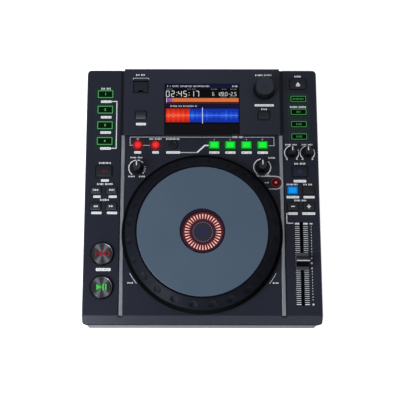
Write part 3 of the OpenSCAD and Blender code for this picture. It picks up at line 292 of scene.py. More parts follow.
def softRubber(name, colour, rough=0.62):
    material, tree, shader = startMaterial(name, Specular_IOR_Level=0.2, Sheen_Weight=0.05,
                                           Sheen_Roughness=0.5)
    here = place(tree)
    fine = noise(tree, here, 1700, 3)
    dust = noise(tree, here, 60, 4, 0.65)
    setTone(tree, shader, dust, [(0.3, shade(colour, 0.85)), (0.75, shade(colour, 1.3))])
    setRoughness(tree, shader, dust, rough - 0.06, rough + 0.06)
    bump(tree, shader, fine, 0.3, 0.00005)
    return material


def brushedMetal(name, colour, rough=0.34, along=(1, 40, 1)):
    # the pattern is stretched along one axis, so the strokes run that way
    material, tree, shader = startMaterial(name, Metallic=1.0)
    here = place(tree, scale=along)
    strokes = noise(tree, here, 2400, 3, 0.7)
    slow = noise(tree, place(tree), 25, 2)
    setTone(tree, shader, strokes, [(0.3, shade(colour, 0.8)), (0.7, shade(colour, 1.15))])
    gloss = math2(tree, "ADD", span(tree, strokes, 0.3, 0.7, -0.05, 0.05),
                  span(tree, slow, 0.3, 0.7, rough - 0.03, rough + 0.03))
    tree.links.new(gloss, shader.inputs["Roughness"])
    bump(tree, shader, strokes, 0.25, 0.00003)
    return material


def glossPanel(name, colour, rough=0.09):
    material, tree, shader = startMaterial(name, Specular_IOR_Level=0.25)
    here = place(tree)
    smears = noise(tree, here, 45, 4, 0.6)
    setTone(tree, shader, smears, [(0.3, shade(colour, 0.85)), (0.7, shade(colour, 1.15))])
    tree.links.new(span(tree, smears, 0.35, 0.7, rough, rough + 0.08), shader.inputs["Roughness"])
    return material


def litPlastic(name, part, colour, glow, isRound=False, edge=0.26):
    # a translucent cap lit from below: bright over its lamp, dim at its edges
    material, tree, shader = startMaterial(name, Emission_Strength=glow, Specular_IOR_Level=0.05,
                                           Roughness=0.32)
    cloud = noise(tree, place(tree), 260, 3)
    reach = math2(tree, "ADD", outward(tree, part, isRound), span(tree, cloud, 0.2, 0.8, -0.05, 0.05))
    starts = (0.4, 0.66, 0.84, 0.98) if isRound else (0.56, 0.78, 0.92, 1.0)
    light = (1.0, 0.5 + edge / 2, 0.16 + edge * 0.84, edge)
    tone = ramp(tree, reach, [(where, shade(colour, share)) for where, share in zip(starts, light)])
    tree.links.new(tone, shader.inputs["Emission Color"])
    setTone(tree, shader, cloud, [(0.2, shade(colour, 0.1)), (0.8, shade(colour, 0.14))])
    return material


def knobRubberPaintedLight(name, part, face, rim, edge, rough=0.5):
    # knob: dusty face, a paler band just inside the rim as painted highlight, and black rim and side as
    # painted shade of the undercut
    material, tree, shader = startMaterial(name, Specular_IOR_Level=0.15)
    reach = outward(tree, part, True)
    dust = noise(tree, place(tree), 90, 4, 0.65)
    fine = noise(tree, place(tree), 1700, 3)
    mixed = math2(tree, "ADD", reach, span(tree, dust, 0.3, 0.7, -0.03, 0.03))
    stops = [(0.0, face), (edge - 0.12, shade(face, 1.25)), (edge, rim), (1.0, rim)]
    setTone(tree, shader, mixed, stops)
    setRoughness(tree, shader, dust, rough - 0.06, rough + 0.1)
    bump(tree, shader, fine, 0.3, 0.00005)
    return material


def ink(name, colour, rough=0.5, glow=0.0):
    # screen print: a little uneven in tone and in gloss
    material, tree, shader = startMaterial(name, Emission_Strength=glow, Specular_IOR_Level=0.15)
    here = place(tree)
    patch = noise(tree, here, 700, 3)
    tone = setTone(tree, shader, patch, [(0.3, shade(colour, 0.93)), (0.7, shade(colour, 1.0))])
    if glow:
        tree.links.new(tone, shader.inputs["Emission Color"])
    setRoughness(tree, shader, patch, rough - 0.05, rough + 0.05)
    return material


def lamp(name, colour, strength=1.0):
    # light through a film: almost flat, with a faint mottle
    material, tree, shader = startMaterial(name, Roughness=0.4, Emission_Strength=strength,
                                           Specular_IOR_Level=0.1)
    shader.inputs["Base Color"].default_value = shade(colour, 0.15)
    mottle = noise(tree, place(tree), 900, 2)
    tone = ramp(tree, mottle, [(0.2, shade(colour, 0.88)), (0.8, shade(colour, 1.06))])
    tree.links.new(tone, shader.inputs["Emission Color"])
    return material


def discFinish(name, colour, centre, rings=0.0004):
    # satin disc with very fine turned rings
    material, tree, shader = startMaterial(name, Specular_IOR_Level=0.4)
    here = place(tree, at=centre, turn=(deckTilt, 0, 0))
    wave = turnedRings(tree, here, 0.3 / rings)
    slow = noise(tree, here, 14, 3)
    fine = noise(tree, here, 1300, 3)
    both = math2(tree, "ADD", math2(tree, "MULTIPLY", slow, 0.75), math2(tree, "MULTIPLY", fine, 0.25))
    setTone(tree, shader, both, [(0.25, shade(colour, 0.94)), (0.75, shade(colour, 1.06))])
    setRoughness(tree, shader, slow, 0.48, 0.56)
    bump(tree, shader, wave, 0.12, 0.00002)
    return material


def spunFace(name, part, colour, highlightFans=(60, 125), strength=0.75, edge=0.97):
    # turned metal: two lines of bright fans painted as highlights, and fine rings, inside a black rim
    material, tree, shader = startMaterial(name, Metallic=0.75, Roughness=0.36)
    here, x, y = onPart(tree, part)
    # the fans are painted highlights, standing in for the turned metal's reflections
    angle = math2(tree, "ARCTAN2", y, x)
    highlightLobes = []
    for fan in highlightFans:
        swing = math2(tree, "COSINE", math2(tree, "SUBTRACT", angle, math.radians(fan)))
        highlightLobes.append(math2(tree, "POWER", math2(tree, "ABSOLUTE", swing), 26))
    bright = math2(tree, "ADD", *highlightLobes)
    wave = turnedRings(tree, here, 900)
    lines = math2(tree, "MULTIPLY", wave, 0.18)
    tone = ramp(tree, math2(tree, "ADD", math2(tree, "MULTIPLY", bright, strength), lines),
                [(0.0, shade(colour, 0.26)), (0.9, shade(colour, 3.6))])
    inside = span(tree, outward(tree, part, True), edge - 0.02, edge + 0.02, 1, 0)
    rim = (0.001, 0.001, 0.0015, 1)
    tree.links.new(mixTones(tree, inside, rim, tone), shader.inputs["Base Color"])
    bump(tree, shader, wave, 0.2, 0.00003)
    return material


def solderMask(name, colour):
    material, tree, shader = startMaterial(name, Roughness=0.35)
    here = place(tree)
    cells = tree.nodes.new("ShaderNodeTexVoronoi")
    cells.inputs["Scale"].default_value = 260
    tree.links.new(here, cells.inputs["Vector"])
    cell = cells.outputs["Distance"]
    setTone(tree, shader, cell, [(0.1, shade(colour, 0.6)), (0.7, shade(colour, 1.3))])
    bump(tree, shader, cell, 0.3, 0.0001)
    return material


def wear(part, material):
    nodes[part].data.materials.clear()
    nodes[part].data.materials.append(material)


panelTop = max(v.co.z for v in nodes["front_panel"].data.vertices)
# the dark strip along the panel's upper edge is painted shade under the case's lip
panelSeamShade = 0.006  # height of the dark strip along the panel's upper edge
bandRadius = 0.105  # where the wheel's band ends and its skirt begins
steel = brushedMetal("groundSteel", srgb(190, 190, 195), 0.28, (1, 1, 1))
finishes = [
    (mouldedPlastic("deckPlastic", srgb(31, 33, 46), 0.36), ["top_case"]),
    (mouldedPlastic("hoodPlastic", srgb(36, 38, 51), 0.38), ["screen_hood"]),
    (mouldedPlastic("basePlastic", srgb(24, 24, 28), 0.5, 1500, 0.00008), ["bottom_case", "jog_base"]),
    (panelPaint("frontPanelPaint", srgb(98, 100, 104), srgb(6, 7, 9), panelTop - panelSeamShade),
     ["front_panel"]),
    (mouldedPlastic("rearPanelPaint", srgb(26, 26, 29), 0.45, 1100, 0.00006),
     ["rear_panel", "pitch_fader_body"]),
    (brushedMetal("railAluminium", srgb(190, 193, 201), 0.4), ["trim_rails"]),
    (glossPanel("screenGlass", srgb(6, 6, 9)), ["screen_glass"]),
    (steel, ["jog_bearings", "browse_shaft"]),
    (solderMask("solderMask", srgb(14, 70, 45)), ["circuit_boards", "power_supply"]),
    (glossPanel("displayGloss", srgb(12, 10, 16), 0.12),
     ["centre_display", "display_module", "jog_sensor"]),
    (mouldedPlastic("inletMoulding", srgb(16, 16, 18), 0.42, 1800), ["mains_inlet", "power_switch"]),
    (brushedMetal("socketPlating", srgb(150, 150, 152), 0.3, (1, 1, 1)), ["sockets"]),
    (softRubber("footRubber", srgb(20, 20, 21), 0.75), ["feet"]),
    # the skirt's near-black is painted shade
    (wheelRubber("wheelRubber", srgb(17, 18, 27), srgb(0, 0, 1), worldSpot(*jogCentre), bandRadius),
     ["jog_ring"]),
    (discFinish("discSatin", srgb(73, 90, 108), worldSpot(*jogCentre, 25)), ["jog_plate"]),
    (mouldedPlastic("socketCoverPlastic", srgb(22, 29, 37), 0.44, 2400), ["usb_cover"]),
]
for material, parts in finishes:
    for part in parts:
        wear(part, material)

# lit keys: colour, glow, round or not, light left at the edge
hotCues = [f"hot_cue_{i}" for i in range(1, 5)]
sourceKeys = ["settings_button", "source_usb_button", "source_midi_button", "source_link_button"]
autoLoops = [f"auto_loop_{i}" for i in range(1, 5)]
litKeys = [
    (hotCues, (0, 40, 6), 0.5, False, 0.9),
    (sourceKeys, (0, 26, 4), 0.4, False, 0.9),
    (autoLoops, (30, 238, 60), 0.96, False, 0.16),
    (["loop_in_button", "loop_out_button"], (248, 50, 52), 0.92, True, 0.18),
    (["key_lock_button"], (16, 150, 246), 0.92, False, 0.16),
    (["slip_button"], (66, 4, 8), 0.6, True, 0.6),
]

# knobs: face tone, and where on the radius the black rim of painted shade starts
knobTones = {"browse_knob": ((44, 46, 54), 0.99), "jog_adjust_knob": ((43, 47, 54), 0.9),
             "filter_knob": ((37, 40, 47), 0.9), "start_time_knob": ((33, 37, 43), 0.88),
             "stop_time_knob": ((33, 37, 43), 0.88)}

# dark keys, with painted light that is darker at the back and lighter at the front: tone at the back
# edge, in the middle and at the front edge
paintedKeyTones = {
    "reverse_button": ((28, 28, 33), (33, 33, 38), (42, 42, 48)),
    "track_back_button": ((33, 35, 41), (40, 42, 48), (60, 62, 70)),
    "track_next_button": ((33, 35, 41), (40, 42, 48), (60, 62, 70)),
    "search_back_button": ((33, 35, 41), (40, 42, 48), (60, 62, 70)),
    "search_forward_button": ((33, 35, 41), (40, 42, 48), (60, 62, 70)),
    "shift_button": ((26, 28, 36), (46, 48, 57), (86, 88, 97)),
    "back_button": ((30, 33, 37), (34, 37, 41), (42, 45, 50)),
    "reloop_button": ((18, 19, 24), (22, 23, 28), (28, 29, 34)),
    "eject_button": ((29, 30, 37), (32, 34, 41), (38, 40, 47)),
    "vinyl_button": ((27, 29, 38), (29, 31, 42), (35, 37, 48)),
    "tempo_range_button": ((32, 32, 38), (34, 34, 39), (40, 40, 45)),
    "pitch_minus_button": ((34, 35, 39), (36, 37, 41), (44, 45, 50)),
    "pitch_plus_button": ((34, 35, 39), (36, 37, 41), (44, 45, 50)),
}

for part, tones in paintedKeyTones.items():
    stops = [(where, srgb(*tone)) for where, tone in zip((0.1, 0.5, 0.95), tones)]
    wear(part, keyPlasticPaintedLight(f"{part}_plastic", part, stops))
for parts, colour, glow, isRound, edge in litKeys:
    for part in parts:
        wear(part, litPlastic(f"{part}_light", part, srgb(*colour), glow, isRound, edge))
for part, (tone, edge) in knobTones.items():
    wear(part, knobRubberPaintedLight(f"{part}_rubber", part, srgb(*tone), srgb(3, 3, 5), edge))
for part in ("cue_button", "play_button"):
    wear(part, spunFace(f"{part}_metal", part, srgb(80, 81, 86)))
# the fader's cap, its light and shade painted: pale lit back flank, finger dip, black shaded front
# flank, pale lit ledge
faderCap = {
    "tones": [(0.14, (80, 81, 87)), (0.24, (28, 30, 42)), (0.4, (58, 59, 68)), (0.5, (58, 59, 68)),
              (0.56, (1, 1, 3)), (0.8, (1, 1, 3)), (0.86, (62, 62, 68))],
    "rough": 0.5, "gloss": 0.06, "lineWide": 17.4, "lineLong": 1.5, "lineShift": -0.25,
}
stops = [(where, srgb(*tone)) for where, tone in faderCap["tones"]]
wear("fader_cap", keyPlasticPaintedLight("faderCapPlastic", "fader_cap", stops, faderCap["rough"],
                             gloss=faderCap["gloss"]))
print("finishes on", len(nodes), "parts")

prints = {
    "white": ink("whiteInk", srgb(238, 238, 240)),
    # the pale print is given a faint glow: painted light
    "pill": ink("pillInk", srgb(240, 241, 243), 0.5, 0.08),
    "line": ink("lineInk", srgb(200, 201, 207)),
    "grey": ink("greyInk", srgb(232, 233, 238)),
    "dark": ink("darkInk", srgb(190, 193, 198)),
    "plate": ink("plateInk", srgb(150, 152, 155)),
    "black": ink("blackInk", srgb(18, 18, 20)),
    "red": ink("redRingPlastic", srgb(178, 22, 24), 0.35),
    "orange": ink("orangeRingPlastic", srgb(214, 98, 16), 0.35),
    "faint": ink("faintInk", srgb(126, 128, 136)),
    "hubInk": ink("hubInk", srgb(46, 46, 58)),
    "blackFilm": ink("blackFilm", srgb(2, 2, 3), 0.3),
    "blueLamp": lamp("blueLamp", srgb(44, 50, 112), 0.9),
}
lampTones = {
    "greenLamp": (76, 148, 92), "greenSpill": (20, 52, 32), "blueSpill": (14, 46, 82),
    "redSpill": (74, 32, 40), "sourceLamp": (74, 144, 90), "greenLegend": (46, 122, 56),
    "paleLegend": (160, 205, 160), "redLamp": (140, 30, 38), "dimRed": (112, 20, 30),
    "slipRing": (100, 32, 36), "slipSpot": (190, 100, 96), "playLamp": (62, 200, 62),
    "markLamp": (250, 200, 186), "ringLamp": (94, 30, 36), "innerLamp": (54, 29, 42),
    "rimLamp": (37, 25, 44), "glowLamp": (34, 38, 108),
    "orangeFilm": (208, 110, 62), "purpleFilm": (134, 84, 168), "maroonFilm": (78, 18, 14),
    "navyFilm": (12, 18, 52), "redFilm": (182, 32, 16), "redWave": (226, 54, 28),
    "redPeak": (252, 104, 76), "blueFilm": (14, 46, 160), "blueWave": (30, 78, 208),
    "bluePeak": (74, 140, 240), "paleFilm": (214, 216, 214), "cursorFilm": (216, 206, 236),
    "greyFilm": (110, 114, 118),
}
for name, tone in lampTones.items():
    prints[name] = lamp(name, srgb(*tone))


# printing tools: flat shapes gathered in a bmesh, in deck millimetres
def bar(sheet, x, y, w, l, h, r=0.0, turn=0.0):
    spot = Matrix.Translation((x, y, h)) @ Matrix.Rotation(turn, 4, "Z") @ Matrix.Diagonal((w, l, 1, 1))
    made = bmesh.ops.create_grid(sheet, x_segments=1, y_segments=1, size=0.5, matrix=spot)
    if r:
        bmesh.ops.bevel(sheet, geom=made["verts"], offset=min(r, w * 0.49, l * 0.49),
                        offset_type="OFFSET", affect="VERTICES", segments=4, profile=0.5, material=-1)


def dot(sheet, x, y, r, h, steps=24):
    bmesh.ops.create_circle(sheet, cap_ends=True, segments=steps, radius=r,
                            matrix=Matrix.Translation((x, y, h)))


def triangle(sheet, x, y, w, l, h, turn=0.0):
    # points along +y before its turn; w across, l long, middle at x, y
    spot = Matrix.Translation((x, y, h)) @ Matrix.Rotation(turn, 4, "Z")
    corners = ((-w / 2, -l / 2, 0), (w / 2, -l / 2, 0), (0, l / 2, 0))
    sheet.faces.new([sheet.verts.new(spot @ Vector(p)) for p in corners])


def arc(sheet, x, y, r, w, start, end, h, steps=32):
    # a curved stroke of width w, from one angle to another in degrees
    turn = math.radians(start)
    out = Vector((math.cos(turn), math.sin(turn), 0))
    middle = Vector((x, y, h))
    ends = [sheet.verts.new(middle + out * (r + side * w / 2)) for side in (-1, 1)]
    edge = sheet.edges.new(ends)
    bmesh.ops.spin(sheet, geom=ends + [edge], cent=middle, axis=(0, 0, 1),
                   angle=math.radians(end - start), steps=steps, use_merge=abs(end - start) >= 360)


def trace(sheet, points, w, h):
    # straight strokes end to end; each one covers its far corner
    last = len(points) - 2
    for i in range(last + 1):
        a, b = Vector(points[i]), Vector(points[i + 1])
        along = (b - a).normalized()
        a = a + along * w / 2 if i else a
        b = b + along * w / 2 if i < last else b
        bar(sheet, *((a + b) / 2), (b - a).length, w, h, 0, math.atan2(along.y, along.x))


def frameBar(sheet, x, y, w, l, h, edge, r=1.0):
    # an outline: a bar whose middle is taken out
    before = set(sheet.faces)
    bar(sheet, x, y, w, l, h, r)
    outer = [f for f in sheet.faces if f not in before]
    bmesh.ops.inset_region(sheet, faces=outer, thickness=edge, use_boundary=True, use_even_offset=True)
    bmesh.ops.delete(sheet, geom=outer, context="FACES")


def caption(sheet, x, y, w, l, h, words=(4, 6)):
    # a line of small marks in the place of lettering, one group for each word
    pattern = (0.68, 0.46, 0.6, 0.74, 0.52, 0.64)
    total = sum(words) + 0.9 * (len(words) - 1)
    unit = w / total
    left = x - w / 2
    i = 0
    for count in words:
        for _ in range(count):
            width = unit * pattern[i % len(pattern)]
            bar(sheet, left + unit * 0.42, y, width, l * (0.9 if i % 3 else 1.0), h, 0.12)
            left += unit
            i += 1
        left += 0.9 * unit


def captionRows(sheet, rows, h):
    for x, y, w, l, words in rows:
        caption(sheet, x, y, w, l, h, words)


def pill(paleSheet, markSheet, x, y, w, l, h, words=(5,)):
    bar(paleSheet, x, y, w - 0.7, l - 0.8, h, 0.9)
    caption(markSheet, x, y, w * 0.8, l * 0.34, h, words)


def numeral(sheet, text, x, y, tall, h):
    curve = bpy.data.curves.new("numeral", "FONT")
    curve.body = text
    curve.align_x = "CENTER"
    curve.align_y = "CENTER"
    curve.size = tall / 0.72
    curve.resolution_u = 3
    holder = bpy.data.objects.new("numeral", curve)
    bpy.context.scene.collection.objects.link(holder)
    bpy.context.view_layer.update()
    drawn = holder.evaluated_get(bpy.context.evaluated_depsgraph_get())
    mesh = bpy.data.meshes.new_from_object(drawn)
    mesh.transform(Matrix.Translation((x, y, h)))
    sheet.from_mesh(mesh)
    bpy.data.objects.remove(holder)
    bpy.data.meshes.remove(mesh)


def finishPiece(work, name, material, body):
    mesh = bpy.data.meshes.new(name)
    work.to_mesh(mesh)
    work.free()
    mesh.materials.append(material)
    piece = bpy.data.objects.new(name, mesh)
    bpy.context.scene.collection.objects.link(piece)
    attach(piece, body)


def putUp(sheet, name, inkName, spot, body="case", thick=0.06):
    # gives the flat shapes their thickness and sets them on a face
    made = bmesh.ops.extrude_face_region(sheet, geom=sheet.faces[:])
    lifted = [v for v in made["geom"] if isinstance(v, bmesh.types.BMVert)]
    bmesh.ops.translate(sheet, verts=lifted, vec=(0, 0, thick))
    bmesh.ops.recalc_face_normals(sheet, faces=sheet.faces[:])
    bmesh.ops.transform(sheet, matrix=spot, verts=sheet.verts[:])
    finishPiece(sheet, name, prints[inkName], body)


def layDown(sheet, name, inkName, body="case", thick=0.05):
    putUp(sheet, name, inkName, deckMatrix, body, thick)


# labels beside the keys of both columns
bright, lines, pills, marks, ticks = (bmesh.new() for _ in range(5))
leftColumn = {
    "captions": [(-135.4, 319.4, 13.6, 3.1, (3, 3)), (-134.8, 211.1, 16.7, 2.5, (9,)),
                 (-134.2, 181.0, 22.3, 2.6, (5, 6)), (-134.3, 158.6, 12.6, 2.7, (6,))],
    "pills": [(-134.8, 300.3, 15.7, 4.4), (-134.5, 277.4, 15.7, 4.4), (-134.8, 255.1, 15.7, 4.4),
              (-134.7, 232.1, 15.7, 4.4), (-134.5, 186.1, 11.6, 4.1), (-145.1, 163.2, 10.8, 4.2),
              (-123.3, 163.2, 11.7, 4.2), (-145.2, 140.4, 14.7, 4.1), (-123.8, 140.4, 14.7, 4.1),
              (-134.3, 62.1, 20.8, 4.8)],
    "longFrom": 14, "long": (3, 3), "short": (5,), "stroke": 1.3,
    "bracket": [(-127.2, 300.6), (-119.7, 300.6), (-119.7, 232.2), (-127.2, 232.2)],
}
rightColumn = {
    "captions": [(136.0, 337.9, 9.8, 2.7, (5,)), (135.4, 292.7, 23, 2.8, (6, 6)),
                 (135.9, 210.4, 15.6, 2.6, (3, 4)), (124.6, 180.8, 16.1, 2.3, (8,)),
                 (146.1, 180.6, 12.4, 2.3, (3, 3)), (135.3, 158.2, 16.8, 2.4, (5, 4)),
                 (124.5, 237.7, 16.8, 2.2, (5, 4)), (146.7, 237.7, 15.5, 2.2, (4, 4))],
    "pills": [(135.4, 185.5, 18, 4.4), (125.1, 162.9, 18.2, 4.1), (147.4, 162.9, 16, 4.1),
              (124.8, 139.8, 13.5, 4.3), (146.4, 139.8, 18.4, 4.3)],
    "longFrom": 16, "long": (4, 4), "short": (6,), "stroke": 1.2,
    "bracket": [(118.2, 139.7), (116.1, 139.7), (116.1, 126.3), (124.7, 126.3)],
}
for column in (leftColumn, rightColumn):
    captionRows(bright, column["captions"], 0)
    for x, y, w, l in column["pills"]:
        pill(pills, marks, x, y, w, l, 0, column["long" if w > column["longFrom"] else "short"])
    trace(ticks, column["bracket"], column["stroke"], 0)

# two ladders of ticks beside the slot, then a column of fine ticks with three marks for the middle
faderScale = {"columns": (130.1, 141.4), "width": 6.2, "first": 15.1, "pitch": 2.729, "count": 40,
              "foot": 1.15, "tick": 0.62, "top": 125.6, "topWide": 5.89, "topLong": 2.4}
fineScale = {"x": 149.1, "first": 21.4, "pitch": 3.85, "count": 27, "wide": 0.65, "long": 1.9,
             "middle": 71.1, "gap": 9, "endWide": 4.2, "endLong": 1.7, "dotShift": 0.4, "dot": 1.25,
             "marksX": 148.7, "marks": ((77.7, 1.8, 0), (71.1, 2.5, 45), (64.2, 2.0, 0))}
for x in faderScale["columns"]:
    bar(bright, x, faderScale["first"], faderScale["width"], faderScale["foot"], 0)
    for i in range(1, faderScale["count"]):
        y = faderScale["first"] + i * faderScale["pitch"]
        bar(ticks, x, y, faderScale["width"], faderScale["tick"], 0)
    bar(ticks, x, faderScale["top"], faderScale["topWide"], faderScale["topLong"], 0)
for i in range(fineScale["count"]):
    y = fineScale["first"] + i * fineScale["pitch"]
    if abs(y - fineScale["middle"]) > fineScale["gap"]:
        bar(ticks, fineScale["x"], y, fineScale["wide"], fineScale["long"], 0)
bar(ticks, fineScale["x"], faderScale["top"], fineScale["endWide"], fineScale["endLong"], 0)
dot(bright, fineScale["x"] + fineScale["dotShift"], faderScale["first"], fineScale["dot"], 0, 16)
for y, size, turn in fineScale["marks"]:
    bar(bright, fineScale["marksX"], y, size, size, 0, 0.5, math.radians(turn))

# loop row
loopRow = {
    "width": 0.8, "slashWidth": 1.9, "stemWidth": 1.2, "figureY": 244.9, "figure": 2.6,
    "figurePill": 15.0, "figurePillY": 226.3, "pillY": 226.4, "pillTall": 4.2,
    "frames": ([(41.8, 248.5), (-100.3, 248.5), (-100.3, 236.7), (-95.6, 236.7)],
               [(59.4, 248.5), (100.5, 248.5), (100.5, 236.3), (92.8, 236.3)],
               [(-82.6, 236.6), (-72.8, 236.6)]),
    "stem": [(-30, 226.3), (-6.6, 226.3)],
    "slash": [(-7.4, 225.9), (3.9, 236.5), (9.2, 236.5)],
    "captions": [(50.5, 248.6, 15.6, 2.9, (4, 4)), (-89.5, 245.6, 3.2, 1.9, (2,)),
                 (-64.7, 245.8, 17.4, 2.2, (3, 5)), (-40.7, 245.8, 19, 2.2, (10,))],
    "pills": ((-89.6, 10.4), (-64.7, 9.9), (-40.1, 20.3)),
}
for points in loopRow["frames"]:
    trace(lines, points, loopRow["width"], 0)
trace(lines, loopRow["stem"], loopRow["stemWidth"], 0)
trace(pills, loopRow["slash"], loopRow["slashWidth"], 0)
captionRows(bright, loopRow["captions"], 0)
for key, text in zip(autoLoops, ("1", "2", "4", "8")):
    x = topSpot(key)[0]
    numeral(bright, text, x, loopRow["figureY"], loopRow["figure"], 0)
    pill(pills, marks, x, loopRow["figurePillY"], loopRow["figurePill"], loopRow["pillTall"], 0, (1, 1))
for x, w in loopRow["pills"]:
    pill(pills, marks, x, loopRow["pillY"], w, loopRow["pillTall"], 0, (6,) if w > 12 else (4,))

# scales round the knobs, the slip key and the wheel
jogScale = {"radius": 11.3, "width": 1.35,
            "arcs": ((234, 188), (184, 152), (148, 122), (118, 96), (86, 66), (62, 42)),
            "dashes": (9.5, -6, -22, -37.5), "dashAt": 11.4, "dash": 1.7, "dashWide": 1.1,
            "captions": ((-91.2, 219, 16.9, 2.0, (5, 4)), (-97.5, 191.9, 9.5, 2.0, (5,)),
                         (-83.2, 191.9, 8.5, 2.0, (4,)))}
x, y = topSpot("jog_adjust_knob")[:2]
for start, end in jogScale["arcs"]:
    arc(bright, x, y, jogScale["radius"], jogScale["width"], start, end, 0, 8)
for angle in jogScale["dashes"]:
    turn = math.radians(angle)
    across, along = jogScale["dashAt"] * math.cos(turn), jogScale["dashAt"] * math.sin(turn)
    bar(bright, x + across, y + along, jogScale["dash"], jogScale["dashWide"], 0, 0.2, turn)
captionRows(bright, jogScale["captions"], 0)

filterScale = {"radius": 11.8, "width": 1.25, "arcs": ((100, 234), (45, -56)),
               "captions": ((97.1, 218.7, 10, 2.5, (5,)), (77.6, 194.0, 4.5, 1.8, (2,)),
                            (90.6, 194.0, 6.1, 1.8, (3,)))}
x, y = topSpot("filter_knob")[:2]
for start, end in filterScale["arcs"]:
    arc(bright, x, y, filterScale["radius"], filterScale["width"], start, end, 0)
captionRows(bright, filterScale["captions"], 0)

timeScale = {"radius": 10.0, "width": 1.1, "arcs": ((104, 234), (30, -54)),
             "footX": 7.0, "footY": -9.3, "foot": 2.6, "footWide": 1.0, "footTurn": 20}
for name in ("start_time_knob", "stop_time_knob"):
    x, y = topSpot(name)[:2]
    for start, end in timeScale["arcs"]:
        arc(bright, x, y, timeScale["radius"], timeScale["width"], start, end, 0)
    for side in (-1, 1):
        bar(bright, x + side * timeScale["footX"], y + timeScale["footY"], timeScale["foot"],
            timeScale["footWide"], 0, 0, side * math.radians(timeScale["footTurn"]))

slipLoop = {"radius": 9.0, "width": 1.4, "ends": ((76.4, 1), (92.4, -1)), "captionX": 89.6}
x, y = topSpot("slip_button")[:2]
for far, side in slipLoop["ends"]:
    level = y + side * slipLoop["radius"]
    trace(lines, [(far, level), (x, level)], slipLoop["width"], 0)
arc(lines, x, y, slipLoop["radius"], slipLoop["width"], -90, 90, 0)
caption(bright, slipLoop["captionX"], y, 6, 1.8, 0, (4,))

# one short arc and one caption on each side of the wheel
wheelMarks = {"shift": 0.9, "radius": 113.0, "from": 208.6, "to": 217.2, "width": 0.65,
              "captionX": 98.3, "captionY": 44, "captionWide": 8.0, "captionTall": 1.9}
for side in (-1, 1):
    start, end = wheelMarks["from"], wheelMarks["to"]
    if side > 0:
        start, end = 540 - end, 540 - start
    arc(bright, jogCentre[0] + wheelMarks["shift"], jogCentre[1], wheelMarks["radius"],
        wheelMarks["width"], start, end, 0, 10)
    caption(bright, side * wheelMarks["captionX"] + wheelMarks["shift"], wheelMarks["captionY"],
            wheelMarks["captionWide"], wheelMarks["captionTall"], 0, (4,))

# light that leaks out round the lit keys
spill = {"from": 0.45, "width": 1.3, "round": 1.6, "ringWidth": 1.0, "thick": 0.02,
         "squares": {"greenSpill": hotCues + sourceKeys + autoLoops, "blueSpill": ["key_lock_button"]}}
room = 2 * (spill["from"] + spill["width"])
for inkName, parts in spill["squares"].items():
    sheet = bmesh.new()
    for part in parts:
        low, high = deckBox(part)
        x, y = topSpot(part)[:2]
        frameBar(sheet, x, y, high.x - low.x + room, high.y - low.y + room, 0,
                 spill["width"], spill["round"])
    layDown(sheet, f"deck_{inkName}", inkName, thick=spill["thick"])
sheet = bmesh.new()
for part in ("loop_in_button", "loop_out_button"):
    low, high = deckBox(part)
    radius = (high.x - low.x) / 2 + spill["from"] + spill["ringWidth"] / 2
    arc(sheet, *topSpot(part)[:2], radius, spill["ringWidth"], 0, 360, 0)
layDown(sheet, "deck_redSpill", "redSpill", thick=spill["thick"])

layDown(bright, "deck_bright_print", "white")
layDown(lines, "deck_line_print", "line")
layDown(pills, "deck_pill_print", "pill")
layDown(marks, "deck_pill_marks", "dark", thick=0.08)
layDown(ticks, "fader_scale_print", "grey")
print("deck prints laid down")

# hood prints
hoodTop = deckBox("screen_hood")[1].z
bright, lines, pills, marks = (bmesh.new() for _ in range(4))
hoodPrint = {"captions": [(-86.7, 338, 12.6, 2.4, (3, 3)), (86.8, 337.8, 23.4, 2.3, (6, 6)),
                          (87.1, 287.6, 8.4, 2.3, (4,))],
             "pills": [(-85.2, 265.8, 14.7, 4.3, (4, 4)), (87.3, 293.4, 27.7, 3.9, (4, 4, 4))],
             "bracket": [(-96.8, 331.2), (-96.8, 333.2), (-75.0, 333.2), (-75.0, 331.2)], "stroke": 0.7}
captionRows(bright, hoodPrint["captions"], hoodTop)
for x, y, w, l, words in hoodPrint["pills"]:
    pill(pills, marks, x, y, w, l, hoodTop, words)
trace(lines, hoodPrint["bracket"], hoodPrint["stroke"], hoodTop)
layDown(bright, "hood_bright_print", "white")
layDown(lines, "hood_line_print", "line")
layDown(pills, "hood_pill_print", "pill")
layDown(marks, "hood_pill_marks", "dark", thick=0.08)

# screen picture, in thin films on the glass
glassTop = deckBox("screen_glass")[1].z
screen = {"x": 0.5, "y": 295, "width": 103.0, "length": 59, "header": 321.4, "digits": 310.2,
          "labels": 317.0, "lowLabels": 305.6, "progress": 301.2, "footer": 292.1,
          "waveLow": 268.6, "waveHigh": 288.5, "redFrom": -50.6, "redTo": -17.5, "blueTo": 51.2,
          "barPitch": 0.8, "barWidth": 0.55, "tickPitch": 4.1}
# each block: film, x, y, width, length and height over the glass
blocks = [
    ("blackFilm", screen["x"], screen["y"], screen["width"], screen["length"], 0),
    ("navyFilm", screen["x"], screen["header"], screen["width"], 5.4, 0),
    ("navyFilm", screen["x"], screen["footer"], screen["width"], 4.6, 0),
    ("orangeFilm", 2.6, screen["progress"], 97.7, 5.6, 0),
    ("maroonFilm", screen["x"], 296.6, screen["width"], 2.6, 0),
    ("purpleFilm", -44.6, screen["progress"], 5.6, 5.6, 0.01),
    ("cursorFilm", -49.4, screen["progress"], 1.1, 6.8, 0),
    ("cursorFilm", 0.7, 278.5, 0.9, 23.4, 0.04),
]
